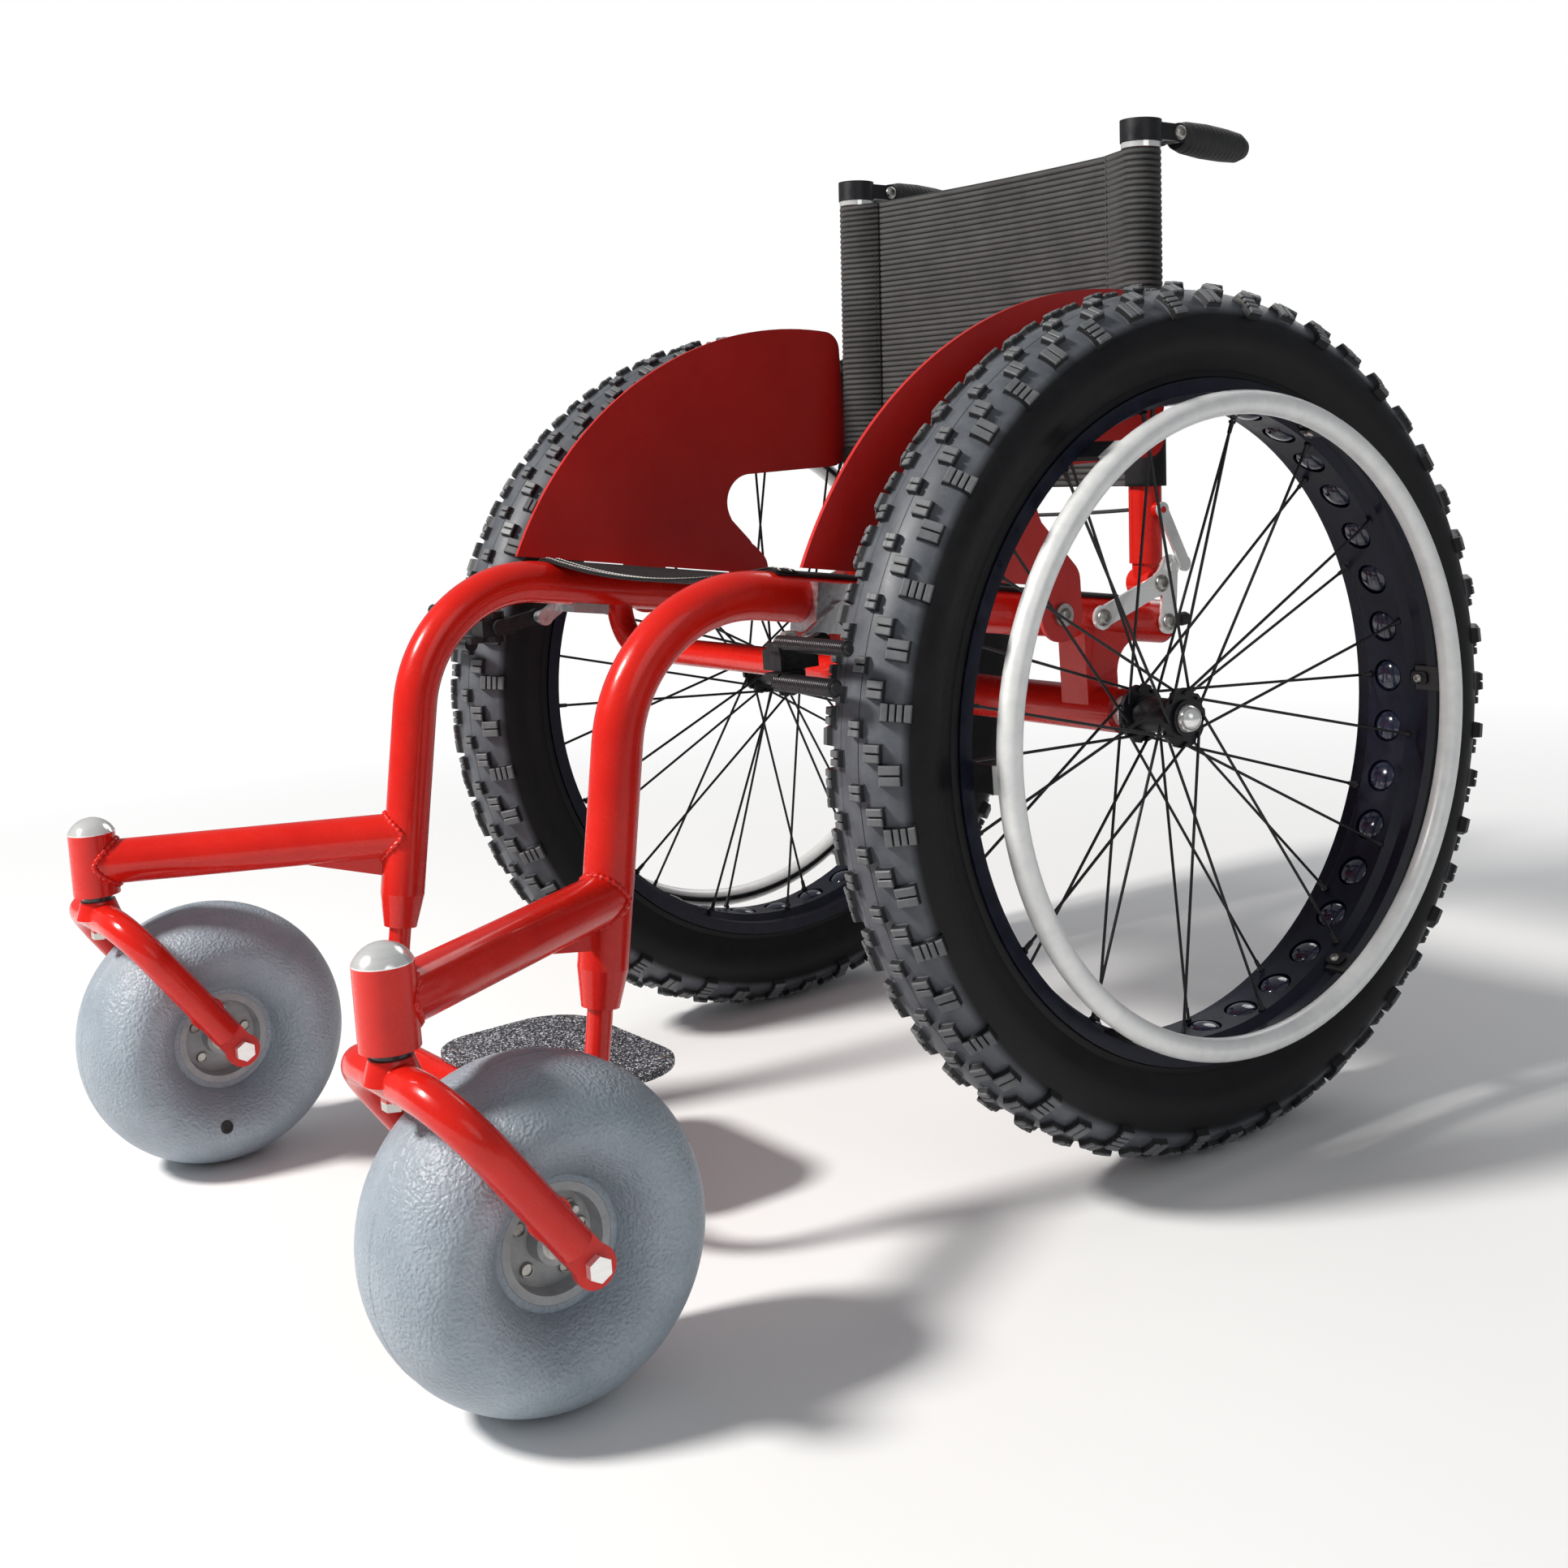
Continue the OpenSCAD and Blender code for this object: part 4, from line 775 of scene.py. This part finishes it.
for side, way in SIDES.items():
    sleeve = grid(last, BACK_RIBS * RIB_CUTS)
    mark = sleeve.verts.layers.float.new("rib")
    for v in sleeve.verts:
        i, share = round((v.co.x + 1) / 2 * last), (v.co.y + 1) / 2
        v[mark] = rib_height(share) / RIB_H
        v.co = sleeve_point(way, i, BACK_LOW + BACK_HIGH * share, rib_height(share) * 0.7)
    patch = grid(last - 4, 12)
    for v in patch.verts:
        i, share = 2 + round((v.co.x + 1) / 2 * (last - 4)), (v.co.y + 1) / 2 * PATCH_SHARE
        v.co = sleeve_point(way, i, BACK_LOW - 0.001 + BACK_HIGH * share, PATCH_OUT)
    for name, mesh, finish, thick in (("back_sleeve_", sleeve, ribbed, 0.0014),
                                      ("sleeve_patch_", patch, nylon, 0.0012)):
        face_out(mesh)
        piece = make_piece(name + side, mesh, finish)
        thicken(piece, thick, 0.0)
        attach(piece, "backrest")

black_thread = thread_finish("black_thread", (0.004, 0.004, 0.004), (0.012, 0.012, 0.012), (0.7, 0.9))
stitches = bmesh.new()
for way in SIDES.values():
    for row, lift in ((SEW_X - 0.003, 0.0054), (SEW_X + 0.005, 0.0062)):
        for face in (-1, 1):
            for i in range(BACK_STITCHES):
                ends = [BACK @ Vector((way * row, face * lift, BACK_LOW + BACK_HIGH * (i + e) / BACK_STITCHES))
                        for e in (0.18, 0.82)]
                sew(stitches, ends[0], ends[1], 0.0008)
piece = make_piece("back_stitches", stitches, black_thread)
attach(piece, "backrest")

# The release line is a thin braided cord between the two back latches, tied at each post.
# It hangs almost straight, with a small dip in the middle.
LINE_Z = 0.067
LINE_R = 0.0019
LINE_HALF = 0.1968
LINE_DIP = 0.006
LINE_STEPS = 40

braid = Finish("braided_line")
plait = braid.wave("DIAGONAL", 190.0)
braid.colour(plait, (0.0, (0.012, 0.012, 0.013)), (1.0, (0.05, 0.05, 0.052)))
braid.rough(plait, 0.6, 0.8, 0.0, 1.0)
braid.raise_grain(plait, 0.0004, 0.7)
line = bmesh.new()
ring = bmesh.ops.create_circle(line, segments=10, radius=LINE_R)["verts"]
bmesh.ops.rotate(line, verts=ring, cent=(0, 0, 0), matrix=Matrix.Rotation(math.pi / 2, 3, "Y"))
bmesh.ops.translate(line, verts=ring, vec=(-LINE_HALF, 0, 0))
edges = line.edges[:]
for i in range(LINE_STEPS):
    drawn = bmesh.ops.extrude_edge_only(line, edges=edges)
    moved = [g for g in drawn["geom"] if isinstance(g, bmesh.types.BMVert)]
    edges = [g for g in drawn["geom"] if isinstance(g, bmesh.types.BMEdge)]
    bmesh.ops.translate(line, verts=moved, vec=(2 * LINE_HALF / LINE_STEPS, 0, 0))
bmesh.ops.holes_fill(line, edges=line.edges[:], sides=12)
for v in line.verts:
    v.co = BACK @ Vector((v.co.x, v.co.y, LINE_Z + v.co.z - LINE_DIP * (1 - (v.co.x / LINE_HALF) ** 2)))
face_out(line)
piece = make_piece("release_line", line, braid)
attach(piece, "backrest")
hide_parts("release_cord")

# The rim tape is a glossy dark nylon band inside the rim. The tube's pressure blows it out
# through the round cut-outs, so each hole shows a smooth bulge.
RIM_HOLES = 36
HOLE_R = 0.0148
TAPE_R = 0.2742
BULGE = 0.0072

tape_nylon = Finish("rim_tape_nylon", {"Coat Weight": 0.7, "Coat Roughness": 0.06})
stain = tape_nylon.grain(75.0, 6.0, 0.6)
tape_nylon.colour(stain, (0.3, (0.008, 0.010, 0.024)), (0.75, (0.022, 0.026, 0.055)))
tape_nylon.rough(stain, 0.10, 0.22)
tape_nylon.raise_grain(tape_nylon.grain(500.0, 3.0), 0.00006, 0.4)
dome = bmesh.new()
bmesh.ops.create_uvsphere(dome, u_segments=20, v_segments=10, radius=1.0)
bmesh.ops.bisect_plane(dome, geom=dome.verts[:] + dome.edges[:] + dome.faces[:], plane_co=(0, 0, 0),
                       plane_no=(0, 0, 1), clear_outer=True)
bmesh.ops.scale(dome, vec=(HOLE_R, HOLE_R, BULGE), verts=dome.verts[:])
bulge = mesh_data("tape_bulge", dome)
for side, way in SIDES.items():
    tape = bmesh.new()
    for i in range(RIM_HOLES):
        stamp(tape, bulge, Matrix.Translation((way * WHEEL_X, AXLE_Y, WHEEL_Z))
              @ Matrix.Rotation(2 * math.pi * i / RIM_HOLES, 4, "X") @ Matrix.Translation((0, 0, TAPE_R)))
    piece = make_piece("rim_tape_" + side, tape, tape_nylon)
    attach(piece, "wheel_" + side)
discard(bulge)

# Each spoke ends in a turned nipple that bears on the inside of the rim, and each handrim tab is held
# to the rim's edge by a bent clip with a pan-head screw. All of them are small turned or pressed parts.
SPOKES = 32
SPOKE_LEAD = math.radians(58)
SPOKE_HUB_R = 0.021
SPOKE_RIM_R = 0.2698
SPOKE_RIM_X = 0.022
FLANGE_X = (-0.0545, -0.0055)
NIPPLE_LEN = 0.011
TABS = 6
TAB_R = 0.2725
TAB_X = 0.0345


def facing(place, axis):
    """Matrix that puts a shape's Z axis along axis, at place."""
    return Matrix.Translation(place) @ Vector(axis).to_track_quat("Z", "Y").to_matrix().to_4x4()


def about_x(x, radius, turn):
    """A point round the X axis, turned from straight up to the rear."""
    return Vector((x, radius * math.sin(turn), radius * math.cos(turn)))


def lathe(section, steps, name):
    """A small turned shape: (radius, height) points spun about the Z axis."""
    mesh = bmesh.new()
    points = [mesh.verts.new((r, 0.0, z)) for r, z in section]
    edges = [mesh.edges.new((a, b)) for a, b in zip(points, points[1:])]
    bmesh.ops.spin(mesh, geom=points + edges, cent=(0, 0, 0), axis=(0, 0, 1), angle=2 * math.pi, steps=steps,
                   use_merge=True)
    bmesh.ops.remove_doubles(mesh, verts=mesh.verts[:], dist=1e-6)
    face_out(mesh)
    return mesh_data(name, mesh)


def button_head(r, h):
    return lathe([(0.0, 0.0), (r, 0.0), (r, 0.3 * h), (0.84 * r, 0.75 * h), (0.55 * r, h), (0.46 * r, h),
                  (0.44 * r, 0.35 * h), (0.0, 0.3 * h)], 18, "button_head")


nipple = lathe([(0.0, 0.0), (0.0034, 0.0), (0.0034, 0.0018), (0.0022, 0.0026), (0.0020, NIPPLE_LEN),
                (0.0016, NIPPLE_LEN + 0.0005), (0.0, NIPPLE_LEN + 0.0005)], 8, "nipple")
tab_screw = button_head(0.0044, 0.0028)
plate = bmesh.new()
bmesh.ops.create_cube(plate, size=1.0)
bmesh.ops.scale(plate, vec=(0.017, 0.012, 0.0022), verts=plate.verts[:])
round_edges(plate, [e for e in plate.edges if abs(e.verts[0].co.z - e.verts[1].co.z) > 0.001], 0.004, 4)
clip = mesh_data("clip", plate)
for side, way in SIDES.items():
    centre = wheel_place(way)
    nipples = bmesh.new()
    for flange in (0, 1):
        for i in range(SPOKES // 2):
            lead = 1 if i % 2 == 0 else -1
            rim_turn = 2 * math.pi * (i + flange / 2) / (SPOKES // 2)
            rim_x = (1 if flange else -1) * SPOKE_RIM_X + lead * 0.0026
            start = centre @ about_x(rim_x, SPOKE_RIM_R, rim_turn)
            stop = centre @ about_x(FLANGE_X[flange] + lead * 0.0035, SPOKE_HUB_R, rim_turn - lead * SPOKE_LEAD)
            stamp(nipples, nipple, facing(start, stop - start))
    piece = make_piece("spoke_nipples_" + side, nipples, black_satin)
    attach(piece, "wheel_" + side)
    clips = bmesh.new()
    clip_screws = bmesh.new()
    for i in range(TABS):
        tab = centre @ Matrix.Rotation(2 * math.pi * (i + 0.5) / TABS, 4, "X")
        stamp(clips, clip, tab @ Matrix.Translation((TAB_X, 0, TAB_R - 0.0012)))
        stamp(clip_screws, tab_screw, facing(tab @ Vector((TAB_X - 0.001, 0, TAB_R - 0.0023)),
                                             tab.to_3x3() @ Vector((0, 0, -1))))
    if way < 0:
        face_out(clips)
    for name, mesh, finish, slot in (("handrim_clips_", clips, black_satin, "black_alloy"),
                                     ("handrim_screws_", clip_screws, plated, "steel")):
        piece = make_piece(name + side, mesh, finish, sharp=35)
        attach(piece, "wheel_" + side)
discard(nipple, tab_screw, clip)

# Screws that close each caster hub: five pan-head screws in the recessed face on both sides,
# and the moulded boss of the air valve between two of them.
HUB_FACE = 0.020
HUB_SCREWS = 5
HUB_SCREW_R = 0.0245

hub_screw = lathe([(0.0, 0.0), (0.0052, 0.0), (0.0052, 0.0012), (0.0044, 0.0026), (0.0040, 0.0026),
                   (0.0036, 0.0010), (0.0, 0.0008)], 16, "hub_screw")
valve = lathe([(0.0, 0.0), (0.0050, 0.0), (0.0050, 0.0014), (0.0032, 0.0020), (0.0030, 0.0090), (0.0024, 0.0096),
               (0.0, 0.0096)], 14, "valve")
for side, way in SIDES.items():
    screws = bmesh.new()
    spots = [(hub_screw, face, i + 0.15) for face in (1, -1) for i in range(HUB_SCREWS)] + [(valve, way, 0.65)]
    for shape, face, step in spots:
        spot = on_side(CASTER_PLACE, way) + about_x(face * HUB_FACE, HUB_SCREW_R, 2 * math.pi * step / HUB_SCREWS)
        stamp(screws, shape, facing(spot, (face, 0, 0)))
    piece = make_piece("caster_hub_screws_" + side, screws, plated, sharp=40)
    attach(piece, "caster_wheel_" + side)
discard(hub_screw, valve)

# Each balloon tyre is blown up through a small valve low in the wall that faces the frame.
# It is a round black rubber plug with a raised rim and a hollow for the pump.
VALVE_ACROSS = 99.5
VALVE_ROUND = math.radians(-168)

valve_plug = lathe([(0.0, 0.0001), (0.0030, 0.0001), (0.0036, 0.0010), (0.0054, 0.0010), (0.0062, -0.0006),
                    (0.0, -0.0006)], 20, "valve_plug")
out, radius = balloon_point(VALVE_ACROSS)
slope = math.atan2((BALLOON_R - BALLOON_MID) * math.sin(math.radians(VALVE_ACROSS)),
                   BALLOON_HALF * math.cos(math.radians(VALVE_ACROSS)))
for side, way in SIDES.items():
    spot = on_side(CASTER_PLACE, way) + about_x(-way * out, radius, VALVE_ROUND)
    valves = bmesh.new()
    stamp(valves, valve_plug, facing(spot, about_x(-way * math.sin(slope), math.cos(slope), VALVE_ROUND)))
    piece = make_piece("balloon_valve_" + side, valves, grip_rubber, sharp=40)
    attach(piece, "caster_wheel_" + side)
discard(valve_plug)

# Bolts of the frame: button-head screws hold the guards through wide washers, and the hinge plates to the rails.
# They are bright plated steel with a socket for a key.
GUARD_BOLTS = (-0.062, -0.190)
GUARD_BOLT_X = 0.2440
HINGE_BOLTS = (-0.004, 0.078)
HINGE_BOLT_X = 0.2313


def rail_spot(x, y):
    """A point beside a rail, at the height of the rail's middle line."""
    return Vector((x, y + AXLE_Y, CORNER[2] - (y + AXLE_Y - CORNER[1]) * math.tan(DUMP)))


guard_head = button_head(0.0062, 0.0036)
hinge_head = button_head(0.0078, 0.0042)
heads = bmesh.new()
for way in SIDES.values():
    for y in GUARD_BOLTS:
        stamp(heads, guard_head, facing(rail_spot(way * GUARD_BOLT_X, y), (way, 0, 0)))
    for y in HINGE_BOLTS:
        stamp(heads, hinge_head, facing(rail_spot(way * HINGE_BOLT_X, y), (way, 0, 0)))
    stamp(heads, hinge_head, facing((way * HINGE_BOLT_X, *FOLD), (way, 0, 0)))
piece = make_piece("frame_bolt_heads", heads, plated, sharp=40)
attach(piece, "frame")
discard(guard_head, hinge_head)

# A bolt with a flanged head runs through each handle clamp, and the grip folds about it.
# Head and nut are bright plated steel, one on each side of the clamp's cheeks.
GRIP_PIVOT = (0.036, 0.410)
CHEEK_OUT = 0.014

grip_head = button_head(0.0068, 0.0040)
grip_bolts = bmesh.new()
for way in SIDES.values():
    for face in (-1, 1):
        spot = BACK @ Vector((way * POST_X + face * CHEEK_OUT, *GRIP_PIVOT))
        stamp(grip_bolts, grip_head, facing(spot, (face, 0, 0)))
piece = make_piece("grip_bolts", grip_bolts, plated, sharp=40)
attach(piece, "backrest")
discard(grip_head)

# Each hinge has a small black plastic knob behind the rail's end; it is turned to set the angle of the back.
# Its threaded stem comes out of the hinge plate's lower bolt lug.
KNOB_X = 0.2298
KNOB_OUT = 0.008

knob_turn = lathe([(0.0, 0.0), (0.0030, 0.0), (0.0030, 0.0060), (0.0052, 0.0066), (0.0062, 0.0085),
                   (0.0062, 0.0150), (0.0050, 0.0172), (0.0, 0.0178)], 18, "hinge_knob")
knobs = bmesh.new()
for way in SIDES.values():
    spot = rail_spot(way * KNOB_X, HINGE_BOLTS[1]) + Vector((0, KNOB_OUT, 0))
    stamp(knobs, knob_turn, facing(spot, (0.0, 1.0, 0.05)))
piece = make_piece("hinge_knobs", knobs, grip_rubber, sharp=40)
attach(piece, "frame")
discard(knob_turn)

# The wheel locks turn on a hex-head bolt that stands up from the lock's body through the shoe's plate.
# A plain washer lies under the head.
LOCK_PIN = (0.250, -0.360 + AXLE_Y, 0.4832)

lock_head = lathe([(0.0, 0.0), (0.0085, 0.0), (0.0085, 0.0012), (0.0066, 0.0013), (0.0066, 0.0046),
                   (0.0058, 0.0054), (0.0, 0.0054)], 6, "lock_head")
lock_bolts = bmesh.new()
for way in SIDES.values():
    stamp(lock_bolts, lock_head, facing(on_side(LOCK_PIN, way), (0, 0, 1)))
piece = make_piece("lock_bolts", lock_bolts, plated, smooth=False)
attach(piece, "frame")
discard(lock_head)

# The footplate is sheet aluminium under a black anti-slip sheet, faced with sharp glittering grit.
# Some grains about a millimetre across are painted grey to near white at random, as painted glints, between pits of
# dull black.
# The plate has wide round corners and stands out a little past the tube loop that carries it.
FOOT_HALF = 0.110
FOOT_FRONT = -0.533 + AXLE_Y
FOOT_REAR = -0.386 + AXLE_Y
FOOT_FRONT_R = 0.042
FOOT_REAR_R = 0.052
FOOT_LOW = 0.1152
FOOT_TOP = 0.1213
CORNER_STEPS = 12
FOOT_SCREW_X = 0.080
FOOT_SCREW_IN = 0.016

grit = Finish("footplate_grit")
grains = grit.node("TexVoronoi", {"Vector": grit.place, "Scale": 850.0}).outputs
each = grit.node("SeparateColor", {"Color": grains["Color"]}).outputs
# The palest grains are painted glints.
grit.colour(each["Red"], (0.0, (0.010, 0.010, 0.014)), (0.50, (0.028, 0.029, 0.036)),
            (0.70, (0.10, 0.10, 0.12)), (0.84, (0.26, 0.27, 0.31)), (0.95, (0.82, 0.85, 0.90)))
grit.rough(each["Green"], 0.25, 0.8, 0.0, 1.0)
grit.raise_grain(grains["Distance"], 0.0005, 0.9)
outline = []
for way, end, radius, start in ((1, FOOT_REAR, FOOT_REAR_R, 0), (-1, FOOT_REAR, FOOT_REAR_R, 90),
                                (-1, FOOT_FRONT, FOOT_FRONT_R, 180), (1, FOOT_FRONT, FOOT_FRONT_R, 270)):
    inside = -radius if end == FOOT_REAR else radius
    for i in range(CORNER_STEPS + 1):
        turn = math.radians(start + 90 * i / CORNER_STEPS)
        outline.append((way * (FOOT_HALF - radius) + radius * math.cos(turn), end + inside + radius * math.sin(turn)))
plate = bmesh.new()
draw_out(plate, plate.faces.new([plate.verts.new((x, y, FOOT_LOW)) for x, y in outline]),
         (0, 0, FOOT_TOP - FOOT_LOW))
round_edges(plate, [e for e in plate.edges if abs(e.verts[0].co.z - e.verts[1].co.z) < 1e-6], 0.0012, 2)
piece = make_piece("foot_tread", plate, grit, sharp=40)
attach(piece, "footrest")
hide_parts("footplate")
foot_screw = button_head(0.0048, 0.0014)
foot_screws = bmesh.new()
for x in (-FOOT_SCREW_X, FOOT_SCREW_X):
    for y in (FOOT_FRONT + FOOT_SCREW_IN, FOOT_REAR - FOOT_SCREW_IN):
        stamp(foot_screws, foot_screw, facing((x, y, FOOT_TOP - 0.0002), (0, 0, 1)))
piece = make_piece("foot_screws", foot_screws, plated, sharp=40)
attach(piece, "footrest")
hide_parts("footplate_screws")
discard(foot_screw)

# Weld beads run round the joints of the caster arms, at the leg and at the swivel barrel.
# They are laid in overlapping ripples and lie under the same red coat.
ARM_Z = 0.297
ARM_ROOT = (CORNER[0], CORNER[1] - (CORNER[2] - ARM_Z) * math.tan(DUMP), ARM_Z)
ARM_R = 0.0202
BARREL = (0.316, -0.744 + AXLE_Y, ARM_Z)
BARREL_R = 0.0207
LEG_R = 0.0203
LEG_AXIS = Vector((0.0, math.sin(DUMP), math.cos(DUMP)))
BEAD_THICK = 0.0026
BEAD_POINTS = 120
RIPPLES = 30


def weld_bead(name, root, axis, post_axis, post_r):
    """A rippled bead where an arm that starts at root along axis leaves a round post through root."""
    side_way = axis.cross(Vector((0, 0, 1))).normalized()
    up_way = side_way.cross(axis).normalized()
    curve = bpy.data.curves.new(name, "CURVE")
    curve.dimensions = "3D"
    curve.bevel_depth = BEAD_THICK
    curve.bevel_resolution = 2
    spline = curve.splines.new("POLY")
    spline.points.add(BEAD_POINTS - 1)
    spline.use_cyclic_u = True
    for i, point in enumerate(spline.points):
        turn = 2 * math.pi * i / BEAD_POINTS
        gap = ARM_R * (math.cos(turn) * side_way + math.sin(turn) * up_way)
        flat_axis = axis - post_axis * axis.dot(post_axis)
        flat_gap = gap - post_axis * gap.dot(post_axis)
        a, b = flat_axis.dot(flat_axis), flat_axis.dot(flat_gap)
        c = flat_gap.dot(flat_gap) - post_r ** 2
        reach = (-b + math.sqrt(max(b * b - a * c, 0.0))) / a
        point.co = (*(root + gap + axis * reach), 1.0)
        point.radius = 1.0 + 0.22 * math.sin(turn * RIPPLES)
    holder = add_object(name, curve)
    bpy.context.view_layer.update()
    mesh = bpy.data.meshes.new_from_object(holder.evaluated_get(bpy.context.evaluated_depsgraph_get()))
    bpy.data.objects.remove(holder)
    bpy.data.curves.remove(curve)
    return mesh


for side, way in SIDES.items():
    beads = bmesh.new()
    leg, barrel = on_side(ARM_ROOT, way), on_side(BARREL, way)
    arm_way = (barrel - leg).normalized()
    for bead in (weld_bead("leg_bead", leg, arm_way, LEG_AXIS, LEG_R),
                 weld_bead("barrel_bead", barrel, -arm_way, Vector((0, 0, 1)), BARREL_R)):
        beads.from_mesh(bead)
        discard(bead)
    face_out(beads)
    piece = make_piece("weld_beads_" + side, beads, red_coat)
    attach(piece, "frame")

# The rear ends of the seat rails are closed with pressed-in black plastic plugs with a domed face.
# Each plug has a thin rim that covers the cut edge of the tube.
RAIL_LEN = 0.559

plug = lathe([(0.0, -0.0005), (0.0198, -0.0005), (0.0200, 0.0012), (0.0188, 0.0028), (0.0120, 0.0040),
              (0.0, 0.0044)], 32, "rail_plug")
plugs = bmesh.new()
for way in SIDES.values():
    along = Vector((way * math.sin(TOE), math.cos(TOE) * math.cos(DUMP), -math.cos(TOE) * math.sin(DUMP)))
    stamp(plugs, plug, facing(on_side(CORNER, way) + along * RAIL_LEN, along))
piece = make_piece("rail_plugs", plugs, grip_rubber)
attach(piece, "frame")
discard(plug)
